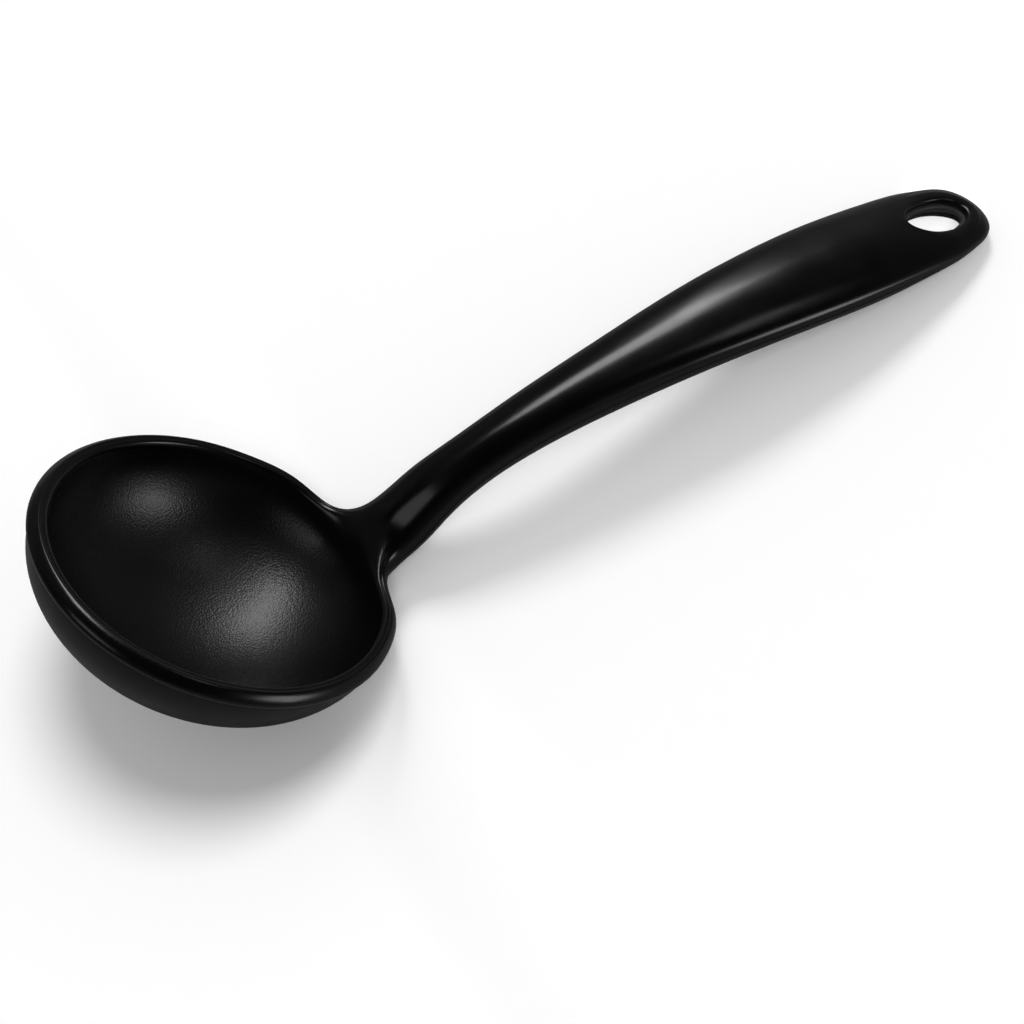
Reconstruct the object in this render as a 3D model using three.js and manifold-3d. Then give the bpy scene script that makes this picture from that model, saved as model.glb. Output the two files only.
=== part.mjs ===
// A black silicone ladle, lying on its bowl and the underside of its tail.
// Millimetres, +Z up, +X along the handle. The origin is the lowest place of the bowl, on the
// small flat on which the ladle rests, so the table is the plane z = 0.
// Reaches along the handle are measured from above the middle of the rim.
import * as THREE from 'three';
import { mergeVertices } from 'three/addons/utils/BufferGeometryUtils.js';
import Module from 'manifold-3d';

const wasm = await Module();
wasm.setup();

// Bowl: sizes in the bowl's own frame, from the middle of the rim plane
const RIM_HALF_WIDTH = 45;
const RIM_HALF_LENGTH = 46.4;
const LAND_ROUND = 1.0;
const BEAD_HEIGHT = 3.0;
const BEAD_OVERHANG = 0.8;
const BOWL_DEPTH = 32;
const BOWL_SKIN = 1.0;
const FORMER_WALL = 0.9;
const EDGE_DEPTH = 6;
const BOWL_TILT = THREE.MathUtils.degToRad(35.8);
const NECK_SECTOR = THREE.MathUtils.degToRad(34);

// Handle: its centre line, seen from the side
const NECK_REACH = 8.4;
const NECK_DROP = 1.0;
const NECK_SLOPE = 0.6;
const CREST_REACH = 121;
const CREST_HEIGHT = 23.2;
const HANDLE_REACH = 264.8;
const TAIL_SLOPE = -0.185;

// Handle: its outline from above and its section
const NECK_HALF_WIDTH = 9.3;
const WAIST_REACH = 68;
const WAIST_HALF_WIDTH = 7.6;
const TAIL_LENGTH = 60;
const GRIP_HALF_WIDTH = 17.1;
const TAIL_ROUNDNESS = 3;
const CROWN_HEIGHT = 6.0;
const TAIL_CROWN_HEIGHT = 4.3;
const CROWN_ROUNDNESS = 2.2;
const RIDGE_ROUNDNESS = 1.8;
const SHOULDER_ROUNDNESS = 2.2;
const BELLY_ROUNDNESS = 4;
const NECK_BELLY_DEPTH = 5.2;
const BELLY_DEPTH = 7.2;
const TAIL_BELLY_DEPTH = 5.6;
const PARTING_RISE = 1.1;
const GRIP_SKIN = 2.0;
const PARTING_GAP = 0.35;

// Hang hole near the tail, with the bands of material left behind it and beside it
const HOLE_HALF_LENGTH = 12.9;
const TAIL_BAND = 7.6;
const SIDE_BAND = 8.4;
const LIP_ROUND = 0.7;
const LIP_MARGIN = 0.8;
const UNDER_FLARE = 1.4;
const UNDER_ROUND = 0.9;
const EYELET_LEDGE = 1.2;
const EYELET_LAND = 1.0;
const EYELET_WALL = 1.0;
const EYELET_CHAMFER = 0.4;

// Inner pieces and their clearances
const FIT_GAP = 0.3;
const JOINT_REACH = 102;
const SPINE_LEAD = 26;
const SPINE_HOLE_GAP = 17;
const CORE_SIDE_WALL = 1.9;
const SPINE_THICKNESS = 2;
const RIVET_DIAMETER = 3.2;
const RIVET_HEAD_DIAMETER = 5.2;
const RIVET_HEAD_HEIGHT = 1.0;
const RIVET_SINK = 0.9;
const RIVET_SETBACK = 11;
const RIVET_SIDES = 10;
const SPINE_STEP = 10;
const EYELET_SIDES = 24;
const TABLE_SIZE = 800;

// Rest flats: how deep the table plane cuts the two lowest places
const REST_CUT = 0.4;

// Materials
const silicone = new THREE.MeshStandardMaterial({ color: 0x0c0c0d, roughness: 0.5, metalness: 0 });
const siliconeUnder = new THREE.MeshStandardMaterial({ color: 0x0e0e0f, roughness: 0.55, metalness: 0 });
const nylon = new THREE.MeshStandardMaterial({ color: 0x1b1b1d, roughness: 0.6, metalness: 0 });
const eyeletNylon = new THREE.MeshStandardMaterial({ color: 0x161617, roughness: 0.4, metalness: 0 });
const steel = new THREE.MeshStandardMaterial({ color: 0xb4b6b8, roughness: 0.35, metalness: 1 });

// Bowl frame: u runs towards the neck in the rim plane, v is +Y, w is the bowl's axis
const cosTilt = Math.cos(BOWL_TILT);
const sinTilt = Math.sin(BOWL_TILT);
const bowlWall = 2 * (BOWL_SKIN + FIT_GAP) + FORMER_WALL;
const rimLand = bowlWall + BEAD_OVERHANG;
const outerLevel = -BEAD_HEIGHT - PARTING_GAP;
const outerHalfLength = RIM_HALF_LENGTH - BEAD_OVERHANG;
const outerHalfWidth = RIM_HALF_WIDTH - BEAD_OVERHANG;
const outerDepth = BOWL_DEPTH + outerLevel;
const innerLevel = -LAND_ROUND;
const innerDepth = BOWL_DEPTH - bowlWall - LAND_ROUND;

// The lowest point of the tilted outer ellipsoid decides how high the rim lies
const supportLength = Math.hypot(outerHalfLength * sinTilt, outerDepth * cosTilt);
const restU = (outerHalfLength ** 2 * sinTilt) / supportLength;
const restW = outerLevel - (outerDepth ** 2 * cosTilt) / supportLength;
const rimHeight = restU * sinTilt - restW * cosTilt - REST_CUT;
const restX = restU * cosTilt + restW * sinTilt;

function fromBowl(u, v, w) {
  return new THREE.Vector3(u * cosTilt + w * sinTilt - restX, v, rimHeight - u * sinTilt + w * cosTilt);
}

// The centre line of the handle: two cubic stretches, neck to crest and crest to tail
const rimNeck = fromBowl(RIM_HALF_LENGTH, 0, 0);
const neckPoint = new THREE.Vector2(rimNeck.x + NECK_REACH, rimNeck.z - NECK_DROP);
const crestPoint = new THREE.Vector2(CREST_REACH - restX, CREST_HEIGHT);
const waistX = WAIST_REACH - restX;
const tailX = HANDLE_REACH - restX;
const gripX = tailX - TAIL_LENGTH;
const holeX = tailX - TAIL_BAND - HOLE_HALF_LENGTH;
const eyeletFlange = UNDER_FLARE + EYELET_WALL;
const lipLand = eyeletFlange + LIP_MARGIN;

function hermite(t) {
  return {
    start: 1 - 3 * t ** 2 + 2 * t ** 3,
    end: 3 * t ** 2 - 2 * t ** 3,
    startSlope: t - 2 * t ** 2 + t ** 3,
    endSlope: t ** 3 - t ** 2,
  };
}

// The tail's height is set so that its underside meets the table beside the hang hole
const crestToTail = tailX - crestPoint.x;
const holeWeights = hermite((holeX - crestPoint.x) / crestToTail);
const bellyBelowCentre = bellyDepth(holeX) - PARTING_RISE;
const holeCentreHeight = bellyBelowCentre - REST_CUT + (HOLE_HALF_LENGTH * -TAIL_SLOPE) / 2;
const crestAndSlopeShare = holeWeights.start * crestPoint.y + holeWeights.endSlope * TAIL_SLOPE * crestToTail;
const tailHeight = (holeCentreHeight - crestAndSlopeShare) / holeWeights.end;

function centreHeight(x) {
  if (x < crestPoint.x) {
    const length = crestPoint.x - neckPoint.x;
    const h = hermite((x - neckPoint.x) / length);
    return h.start * neckPoint.y + h.end * crestPoint.y + h.startSlope * NECK_SLOPE * length;
  }
  const h = hermite((x - crestPoint.x) / crestToTail);
  return h.start * crestPoint.y + h.end * tailHeight + h.endSlope * TAIL_SLOPE * crestToTail;
}

function handleNormal(x) {
  const step = 0.5;
  const rise = centreHeight(x + step) - centreHeight(x - step);
  return new THREE.Vector2(-rise, 2 * step).normalize();
}

// A point of the handle: n is the height over the centre line, square to it
function fromHandle(x, y, n) {
  const normal = handleNormal(x);
  return new THREE.Vector3(x + normal.x * n, y, centreHeight(x) + normal.y * n);
}

// Half the handle's width from above: flared neck, narrow waist, wide grip, rounded tail
function halfWidth(x) {
  if (x > gripX) {
    const share = Math.min((x - gripX) / TAIL_LENGTH, 1);
    return GRIP_HALF_WIDTH * (1 - share ** TAIL_ROUNDNESS) ** (1 / TAIL_ROUNDNESS);
  }
  if (x < waistX) {
    const t = THREE.MathUtils.smoothstep(x, neckPoint.x, waistX);
    return THREE.MathUtils.lerp(NECK_HALF_WIDTH, WAIST_HALF_WIDTH, t);
  }
  const t = THREE.MathUtils.smoothstep(x, waistX, gripX);
  return THREE.MathUtils.lerp(WAIST_HALF_WIDTH, GRIP_HALF_WIDTH, t);
}
const holeHalfWidth = halfWidth(holeX) - SIDE_BAND;

// The belly is shallow at the neck, reaches its full depth in the grip and thins towards the tail
function bellyDepth(x) {
  const fromNeck = THREE.MathUtils.smoothstep(x, neckPoint.x, crestPoint.x);
  const toTail = THREE.MathUtils.smoothstep(x, gripX, tailX);
  const grown = THREE.MathUtils.lerp(NECK_BELLY_DEPTH, BELLY_DEPTH, fromNeck);
  return THREE.MathUtils.lerp(grown, TAIL_BELLY_DEPTH, toTail);
}
function crownHeight(x) {
  return THREE.MathUtils.lerp(CROWN_HEIGHT, TAIL_CROWN_HEIGHT, THREE.MathUtils.smoothstep(x, gripX, tailX));
}

// Section shape: 1 on the centre line, 0 at the parting line.
// The crown is round at the neck and at the hole, with a soft ridge along the grip between them.
function crownShare(f, x) {
  const fromNeck = THREE.MathUtils.smoothstep(x, neckPoint.x, waistX);
  const toHole = THREE.MathUtils.smoothstep(x, gripX, holeX);
  const power = THREE.MathUtils.lerp(CROWN_ROUNDNESS, RIDGE_ROUNDNESS, fromNeck * (1 - toHole));
  return (1 - THREE.MathUtils.clamp(f, 0, 1) ** power) ** (1 / SHOULDER_ROUNDNESS);
}
function bellyShare(f) {
  return Math.sqrt(1 - THREE.MathUtils.clamp(f, 0, 1) ** BELLY_ROUNDNESS);
}

// Azimuths round the bowl: 5 lines in the neck's sector, then even steps to the other side
const BOWL_LINES = 24;
const NECK_LINES = 2;
const bowlAzimuths = Array.from({ length: BOWL_LINES }, (_, j) => {
  const half = NECK_SECTOR / 2;
  const rest = 2 * Math.PI - NECK_SECTOR;
  if (j <= NECK_LINES) return (half * j) / NECK_LINES;
  if (j >= BOWL_LINES - NECK_LINES) return 2 * Math.PI - (half * (BOWL_LINES - j)) / NECK_LINES;
  return half + (rest * (j - NECK_LINES)) / (BOWL_LINES - 2 * NECK_LINES);
});
function azimuthAt(position) {
  const lower = Math.floor(position) % BOWL_LINES;
  const upper = (lower + 1) % BOWL_LINES;
  const next = upper === 0 ? 2 * Math.PI : bowlAzimuths[upper];
  return THREE.MathUtils.lerp(bowlAzimuths[lower], next, position - Math.floor(position));
}

// Lines round the hang hole, and where the handle's cross rows lie between neck and hole
const TAIL_LINES = 12;
const PATCH_CELLS = 3;
const ROW_SHARES = [0, 0.06, 0.135, 0.25, 0.41, 0.595, 0.785, 0.925];
const rowsEnd = holeX - HOLE_HALF_LENGTH - lipLand;
const handleX = (row) => THREE.MathUtils.lerp(neckPoint.x, rowsEnd, ROW_SHARES[row - 1]);

// Distance from the hole's centre to the handle's outline, along a ray in plan
const HALVINGS = 40;
function outlineDistance(angle) {
  let near = 0;
  let far = tailX - crestPoint.x;
  for (let i = 0; i < HALVINGS; i += 1) {
    const middle = (near + far) / 2;
    const outside = middle * Math.abs(Math.sin(angle)) > halfWidth(holeX + middle * Math.cos(angle));
    if (outside || holeX + middle * Math.cos(angle) > tailX) far = middle;
    else near = middle;
  }
  return near;
}
function ovalDistance(angle, growth) {
  const a = HOLE_HALF_LENGTH + growth;
  const b = holeHalfWidth + growth;
  return 1 / Math.hypot(Math.cos(angle) / a, Math.sin(angle) / b);
}

// One side of the ladle as a sheet of four-sided cells, without thickness.
// The bowl end and the tail end are rings of cells round the dish and the hole; the handle's
// cross rows join them; the side strips run from the rim along the handle and round the tail.
function sheet({ dish, rings, rim, handle, tail, holeRings, strips }) {
  const points = [];
  const cells = [];
  const index = new Map();
  const rows = ROW_SHARES.length + 1;
  function at(key, make) {
    if (!index.has(key)) index.set(key, points.push(make()) - 1);
    return index.get(key);
  }
  const bowlLine = (j) => ((j % BOWL_LINES) + BOWL_LINES) % BOWL_LINES;
  const tailLine = (j) => ((j % TAIL_LINES) + TAIL_LINES) % TAIL_LINES;

  function patchPoint(i, j) {
    const ring = Math.max(Math.abs(i), Math.abs(j));
    if (ring === PATCH_CELLS) return bowlPoint(0, patchLine(i, j, ring));
    return at(`patch ${i} ${j}`, () => {
      if (ring === 0) return dish(0, 0);
      const position = (patchLine(i, j, ring) * PATCH_CELLS) / ring;
      return dish((rings[0] * ring) / PATCH_CELLS, azimuthAt(position));
    });
  }
  function patchLine(i, j, ring) {
    const round = 8 * ring;
    let line;
    if (i === ring) line = j;
    else if (j === ring) line = 2 * ring - i;
    else if (i === -ring) line = 4 * ring - j;
    else line = 6 * ring + i;
    return (line + round) % round;
  }
  function bowlPoint(ring, j) {
    const line = bowlLine(j);
    return at(`bowl ${ring} ${line}`, () => dish(rings[ring], bowlAzimuths[line]));
  }
  const lastRing = rings.length - 1;
  function rimPoint(k, j) {
    if (k === 0) return bowlPoint(lastRing, j);
    return at(`rim ${k} ${bowlLine(j)}`, () => rim(k, bowlAzimuths[bowlLine(j)]));
  }
  function tailAngle(j) {
    return Math.PI - (2 * Math.PI * j) / TAIL_LINES;
  }
  function holePoint(ring, j) {
    return at(`hole ${ring} ${tailLine(j)}`, () => tail(ring - holeRings, tailAngle(j)));
  }
  function endPoint(k, j) {
    if (k === 0) return holePoint(holeRings, j);
    return at(`end ${k} ${tailLine(j)}`, () => tail(k, tailAngle(j)));
  }
  function rowPoint(row, column) {
    const beyond = Math.max(Math.abs(column) - NECK_LINES, 0);
    const line = THREE.MathUtils.clamp(column, -NECK_LINES, NECK_LINES);
    if (row === 0) return rimPoint(beyond, line);
    if (row === rows) return endPoint(beyond, line);
    return at(`row ${row} ${column}`, () => handle(row, Math.abs(column), Math.sign(column)));
  }

  for (let i = -PATCH_CELLS; i < PATCH_CELLS; i += 1) {
    for (let j = -PATCH_CELLS; j < PATCH_CELLS; j += 1) {
      cells.push([patchPoint(i, j), patchPoint(i + 1, j), patchPoint(i + 1, j + 1), patchPoint(i, j + 1)]);
    }
  }
  for (let r = 0; r < lastRing; r += 1) {
    for (let j = 0; j < BOWL_LINES; j += 1) {
      cells.push([bowlPoint(r, j), bowlPoint(r + 1, j), bowlPoint(r + 1, j + 1), bowlPoint(r, j + 1)]);
    }
  }
  for (let k = 0; k < strips; k += 1) {
    for (let j = NECK_LINES; j < BOWL_LINES - NECK_LINES; j += 1) {
      cells.push([rimPoint(k, j), rimPoint(k + 1, j), rimPoint(k + 1, j + 1), rimPoint(k, j + 1)]);
    }
    for (let j = NECK_LINES; j < TAIL_LINES - NECK_LINES; j += 1) {
      cells.push([endPoint(k, j), endPoint(k, j + 1), endPoint(k + 1, j + 1), endPoint(k + 1, j)]);
    }
  }
  const edge = NECK_LINES + strips;
  for (let row = 0; row < rows; row += 1) {
    for (let c = -edge; c < edge; c += 1) {
      cells.push([rowPoint(row, c), rowPoint(row + 1, c), rowPoint(row + 1, c + 1), rowPoint(row, c + 1)]);
    }
  }
  for (let r = 0; r < holeRings; r += 1) {
    for (let j = 0; j < TAIL_LINES; j += 1) {
      cells.push([holePoint(r, j), holePoint(r, j + 1), holePoint(r + 1, j + 1), holePoint(r + 1, j)]);
    }
  }

  const outline = [];
  for (let j = NECK_LINES; j < BOWL_LINES - NECK_LINES; j += 1) outline.push(rimPoint(strips, j));
  for (let row = 0; row < rows; row += 1) outline.push(rowPoint(row, -edge));
  for (let j = TAIL_LINES - NECK_LINES; j > NECK_LINES; j -= 1) outline.push(endPoint(strips, j));
  for (let row = rows; row > 0; row -= 1) outline.push(rowPoint(row, edge));
  const hole = Array.from({ length: TAIL_LINES }, (_, j) => holePoint(0, j));
  return { points, cells, outline, hole };
}

// Two sheets, the upper over the lower, joined along their outlines and round the hole
function shell(upper, lower) {
  const shift = upper.points.length;
  const points = [...upper.points, ...lower.points];
  const cells = [...upper.cells, ...lower.cells.map((cell) => cell.map((i) => i + shift).reverse())];
  const sharp = new Set();
  for (const [top, bottom] of [[upper.outline, lower.outline], [upper.hole, lower.hole]]) {
    top.forEach((here, i) => {
      const there = top[(i + 1) % top.length];
      const under = bottom[i] + shift;
      const underThere = bottom[(i + 1) % bottom.length] + shift;
      cells.push([here, under, underThere, there]);
      sharp.add(edgeKey(here, there));
      sharp.add(edgeKey(under, underThere));
    });
  }
  return { points, cells, sharp };
}

// Catmull-Clark subdivision with sharp edges
function edgeKey(a, b) {
  return a < b ? `${a} ${b}` : `${b} ${a}`;
}
function neighbours(cage) {
  const rings = cage.points.map(() => ({ edges: new Set(), opposite: [], sharp: [] }));
  for (const cell of cage.cells) {
    cell.forEach((v, i) => {
      rings[v].edges.add(cell[(i + 1) % 4]).add(cell[(i + 3) % 4]);
      rings[v].opposite.push(cell[(i + 2) % 4]);
    });
  }
  for (const key of cage.sharp) {
    const [a, b] = key.split(' ').map(Number);
    rings[a].sharp.push(b);
    rings[b].sharp.push(a);
  }
  return rings;
}
function limitPoints(cage, rings) {
  return cage.points.map((p, v) => {
    const { edges, opposite, sharp } = rings[v];
    const sum = new THREE.Vector3();
    if (sharp.length === 2) {
      for (const i of sharp) sum.add(cage.points[i]);
      return sum.addScaledVector(p, 4).divideScalar(6);
    }
    const n = edges.size;
    for (const i of edges) sum.addScaledVector(cage.points[i], 4);
    for (const i of opposite) sum.add(cage.points[i]);
    return sum.addScaledVector(p, n * n).divideScalar(n * (n + 5));
  });
}

// Moves the cage's points until the smooth surface passes through where they were set
const FIT_ROUNDS = 12;
function fitted(cage) {
  const rings = neighbours(cage);
  const targets = cage.points.map((p) => p.clone());
  for (let round = 0; round < FIT_ROUNDS; round += 1) {
    const limits = limitPoints(cage, rings);
    cage.points.forEach((p, i) => p.add(targets[i]).sub(limits[i]));
  }
  return cage;
}
function subdivided(cage) {
  const { points, cells, sharp } = cage;
  const next = points.map(() => new THREE.Vector3());
  const middles = cells.map((cell) => {
    const middle = new THREE.Vector3();
    for (const i of cell) middle.addScaledVector(points[i], 0.25);
    return next.push(middle) - 1;
  });
  const edges = new Map();
  cells.forEach((cell, c) => {
    cell.forEach((a, i) => {
      const b = cell[(i + 1) % 4];
      const key = edgeKey(a, b);
      if (!edges.has(key)) edges.set(key, { a, b, cells: [] });
      edges.get(key).cells.push(middles[c]);
    });
  });
  const nextSharp = new Set();
  for (const [key, edge] of edges) {
    const point = points[edge.a].clone().add(points[edge.b]);
    if (sharp.has(key)) point.multiplyScalar(0.5);
    else point.add(next[edge.cells[0]]).add(next[edge.cells[1]]).multiplyScalar(0.25);
    edge.point = next.push(point) - 1;
    if (sharp.has(key)) nextSharp.add(edgeKey(edge.a, edge.point)).add(edgeKey(edge.b, edge.point));
  }
  const rings = neighbours(cage);
  points.forEach((p, v) => {
    const ring = rings[v];
    const target = next[v];
    if (ring.sharp.length === 2) {
      for (const i of ring.sharp) target.addScaledVector(points[i], 0.125);
      target.addScaledVector(p, 0.75);
      return;
    }
    const n = ring.edges.size;
    for (const i of ring.edges) target.addScaledVector(points[i], 1.5 / (n * n));
    for (const i of ring.opposite) target.addScaledVector(points[i], 0.25 / (n * n));
    target.addScaledVector(p, 1 - 1.75 / n);
  });
  const nextCells = [];
  cells.forEach((cell, c) => {
    cell.forEach((v, i) => {
      const ahead = edges.get(edgeKey(v, cell[(i + 1) % 4])).point;
      const behind = edges.get(edgeKey(v, cell[(i + 3) % 4])).point;
      nextCells.push([v, ahead, middles[c], behind]);
    });
  });
  return { points: next, cells: nextCells, sharp: nextSharp };
}

// Solids: a smooth cage as a closed triangle mesh, and three.js geometry for the rest
function cageSolid(cage) {
  const fine = subdivided(fitted(cage));
  const places = limitPoints(fine, neighbours(fine));
  const vertProperties = new Float32Array(places.flatMap((p) => p.toArray()));
  const triVerts = new Uint32Array(fine.cells.flatMap(([a, b, c, d]) => [a, b, c, a, c, d]));
  return new wasm.Manifold(new wasm.Mesh({ numProp: 3, vertProperties, triVerts }));
}
function geometrySolid(geometry) {
  const bare = geometry.clone();
  bare.deleteAttribute('normal');
  bare.deleteAttribute('uv');
  const merged = mergeVertices(bare, 1e-4);
  const vertProperties = new Float32Array(merged.attributes.position.array);
  return new wasm.Manifold(
    new wasm.Mesh({ numProp: 3, vertProperties, triVerts: new Uint32Array(merged.index.array) }),
  );
}
function solidGeometry(solid) {
  const mesh = solid.getMesh();
  const geometry = new THREE.BufferGeometry();
  geometry.setAttribute('position', new THREE.BufferAttribute(mesh.vertProperties, 3));
  geometry.setIndex(new THREE.BufferAttribute(mesh.triVerts, 1));
  geometry.computeVertexNormals();
  return geometry;
}

// Where the rings of the bowl lie between its axis and its edge, and the columns of the handle
// between its middle and its side: closer where the surface turns, fewer where it is hidden
const DISH_RINGS = [0.5, 0.74, 0.9];
const WALL_RINGS = [0.97, 0.996, 1];
const CROWN_COLUMNS = [0, 0.22, 0.52, 0.72, 0.86, 0.96, 1];
const BELLY_COLUMNS = [0, 0.33, 0.65, 0.9, 1];
const HIDDEN_COLUMNS = [0, 0.33, 0.62, 1];
const CROWN_END_RINGS = [0.25, 0.6, 0.92, 1];
const BELLY_END_RINGS = [0.6, 1];
const HIDDEN_END_RINGS = [1];

// How deep a layer lies at a row of the handle, between its depths in the bowl and in the grip
const NECK_ROWS = 2;
function rowInset(row, bowlInset, gripInset) {
  return THREE.MathUtils.lerp(bowlInset, gripInset, Math.min(row / NECK_ROWS, 1));
}

// Where a tail point lies between the middle of the hole and the outline
function tailShare(angle, radius, inset) {
  return radius / (outlineDistance(angle) - inset);
}

// The upper side of the ladle, set in by a depth from what shows: bowl lining, land, crown
function upperSheet(layer) {
  const { bowlInset, gripInset, edgeLevel, dishRings, rimLines } = layer;
  const { columnShares, endShares, holeGrowths } = layer;
  const halfLength = RIM_HALF_LENGTH - rimLand + bowlInset;
  const halfSpan = RIM_HALF_WIDTH - rimLand + bowlInset;
  const depth = innerDepth + bowlInset;
  const edgeRing = Math.sqrt(1 - ((innerLevel - edgeLevel) / depth) ** 2);
  return sheet({
    rings: [...dishRings, edgeRing],
    strips: rimLines.length,
    holeRings: holeGrowths.length - 1,
    dish: (share, azimuth) => fromBowl(
      halfLength * share * Math.cos(azimuth),
      halfSpan * share * Math.sin(azimuth),
      innerLevel - depth * Math.sqrt(1 - share ** 2),
    ),
    rim: (k, azimuth) => fromBowl(
      (RIM_HALF_LENGTH - rimLines[k - 1].inset) * Math.cos(azimuth),
      (RIM_HALF_WIDTH - rimLines[k - 1].inset) * Math.sin(azimuth),
      rimLines[k - 1].level,
    ),
    handle: (row, column, sign) => {
      const x = handleX(row);
      const inset = rowInset(row, bowlInset, gripInset);
      const share = columnShares[column];
      const n = PARTING_RISE + (crownHeight(x) - inset) * crownShare(share, x);
      return fromHandle(x, sign * share * (halfWidth(x) - inset), n);
    },
    tail: (k, angle) => {
      const lipRadius = ovalDistance(angle, holeGrowths.at(-1).growth);
      let radius = lipRadius;
      let drop = 0;
      if (k > 0) radius = THREE.MathUtils.lerp(lipRadius, outlineDistance(angle) - gripInset, endShares[k - 1]);
      if (k < 0) {
        const ring = holeGrowths.at(k - 1);
        radius = ovalDistance(angle, ring.growth);
        drop = ring.drop;
      }
      const reach = Math.max(radius, lipRadius);
      const x = holeX + reach * Math.cos(angle);
      const crown = crownHeight(x) - gripInset;
      const n = PARTING_RISE + crown * crownShare(tailShare(angle, reach, gripInset), x) - drop;
      return fromHandle(holeX + radius * Math.cos(angle), radius * Math.sin(angle), n);
    },
  });
}

// The lower side of the ladle: outside of the bowl and belly of the handle
function lowerSheet(layer) {
  const { bowlInset, gripInset, dishRings, rimLines, columnShares, endShares, holeGrowths } = layer;
  const halfLength = outerHalfLength - bowlInset;
  const halfSpan = outerHalfWidth - bowlInset;
  const depth = outerDepth - bowlInset;
  const parting = PARTING_RISE - PARTING_GAP;
  const dish = (share, azimuth) => fromBowl(
    halfLength * share * Math.cos(azimuth),
    halfSpan * share * Math.sin(azimuth),
    outerLevel - depth * Math.sqrt(1 - share ** 2),
  );
  return sheet({
    dish,
    rings: [...dishRings, WALL_RINGS[0]],
    strips: rimLines.length,
    holeRings: holeGrowths.length - 1,
    rim: (k, azimuth) => dish(rimLines[k - 1], azimuth),
    handle: (row, column, sign) => {
      const x = handleX(row);
      const inset = rowInset(row, bowlInset, gripInset);
      const share = columnShares[column];
      const n = parting - (bellyDepth(x) - inset) * bellyShare(share);
      return fromHandle(x, sign * share * (halfWidth(x) - inset), n);
    },
    tail: (k, angle) => {
      const lipRadius = ovalDistance(angle, holeGrowths.at(-1).growth);
      let radius = lipRadius;
      let drop = 0;
      if (k > 0) radius = THREE.MathUtils.lerp(lipRadius, outlineDistance(angle) - gripInset, endShares[k - 1]);
      if (k < 0) {
        const ring = holeGrowths.at(k - 1);
        radius = ovalDistance(angle, ring.growth);
        drop = ring.drop;
      }
      const reach = Math.max(radius, lipRadius);
      const belly = bellyDepth(holeX + reach * Math.cos(angle)) - gripInset;
      const n = parting - belly * bellyShare(tailShare(angle, reach, gripInset)) + drop;
      return fromHandle(holeX + radius * Math.cos(angle), radius * Math.sin(angle), n);
    },
  });
}

// Upper skin: lining of the bowl with the rim bead, and the crown of the handle
function lipRings(growth, round) {
  return [
    { growth, drop: GRIP_SKIN - LIP_ROUND },
    { growth, drop: round },
    { growth: growth + round, drop: 0 },
    { growth: lipLand, drop: 0 },
  ];
}
const hiddenRings = (growth) => [{ growth, drop: 0 }, { growth: lipLand, drop: 0 }];
const upperSkin = cageSolid(shell(
  upperSheet({
    bowlInset: 0,
    gripInset: 0,
    dishRings: DISH_RINGS,
    edgeLevel: innerLevel,
    rimLines: [
      { inset: rimLand - LAND_ROUND, level: 0 },
      { inset: LAND_ROUND, level: 0 },
      { inset: 0, level: -LAND_ROUND },
      { inset: 0, level: -BEAD_HEIGHT },
    ],
    columnShares: CROWN_COLUMNS,
    endShares: CROWN_END_RINGS,
    holeGrowths: lipRings(0, LIP_ROUND),
  }),
  upperSheet({
    bowlInset: BOWL_SKIN,
    gripInset: GRIP_SKIN,
    dishRings: DISH_RINGS,
    edgeLevel: -BEAD_HEIGHT - EDGE_DEPTH,
    rimLines: [{ inset: rimLand - BOWL_SKIN, level: -BEAD_HEIGHT }],
    columnShares: HIDDEN_COLUMNS,
    endShares: HIDDEN_END_RINGS,
    holeGrowths: hiddenRings(0),
  }),
));

// Lower skin: outside of the bowl and belly of the handle, cut flat where it rests
const table = geometrySolid(new THREE.BoxGeometry(TABLE_SIZE, TABLE_SIZE, TABLE_SIZE)
  .translate(0, 0, -TABLE_SIZE / 2));
const lowerSkin = cageSolid(shell(
  lowerSheet({
    bowlInset: BOWL_SKIN,
    gripInset: GRIP_SKIN,
    dishRings: DISH_RINGS,
    rimLines: [1],
    columnShares: HIDDEN_COLUMNS,
    endShares: HIDDEN_END_RINGS,
    holeGrowths: hiddenRings(UNDER_FLARE),
  }),
  lowerSheet({
    bowlInset: 0,
    gripInset: 0,
    dishRings: DISH_RINGS,
    rimLines: WALL_RINGS.slice(1),
    columnShares: BELLY_COLUMNS,
    endShares: BELLY_END_RINGS,
    holeGrowths: lipRings(UNDER_FLARE, UNDER_ROUND),
  }),
)).subtract(table);

// The stiff body between the skins, then cut in two across the handle
const stiffLayer = {
  bowlInset: BOWL_SKIN + FIT_GAP,
  gripInset: GRIP_SKIN + FIT_GAP,
  dishRings: DISH_RINGS,
  columnShares: HIDDEN_COLUMNS,
  endShares: HIDDEN_END_RINGS,
  holeGrowths: hiddenRings(0),
};
const stiffBody = cageSolid(shell(
  upperSheet({
    ...stiffLayer,
    edgeLevel: outerLevel - EDGE_DEPTH,
    rimLines: [{ inset: rimLand - BOWL_SKIN - FIT_GAP, level: outerLevel }],
  }),
  lowerSheet({ ...stiffLayer, rimLines: [1] }),
));
const jointX = JOINT_REACH - restX;
function halfSpace(x, side) {
  return geometrySolid(new THREE.BoxGeometry(TABLE_SIZE, TABLE_SIZE, TABLE_SIZE)
    .translate(x + (side * TABLE_SIZE) / 2, 0, 0));
}

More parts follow.
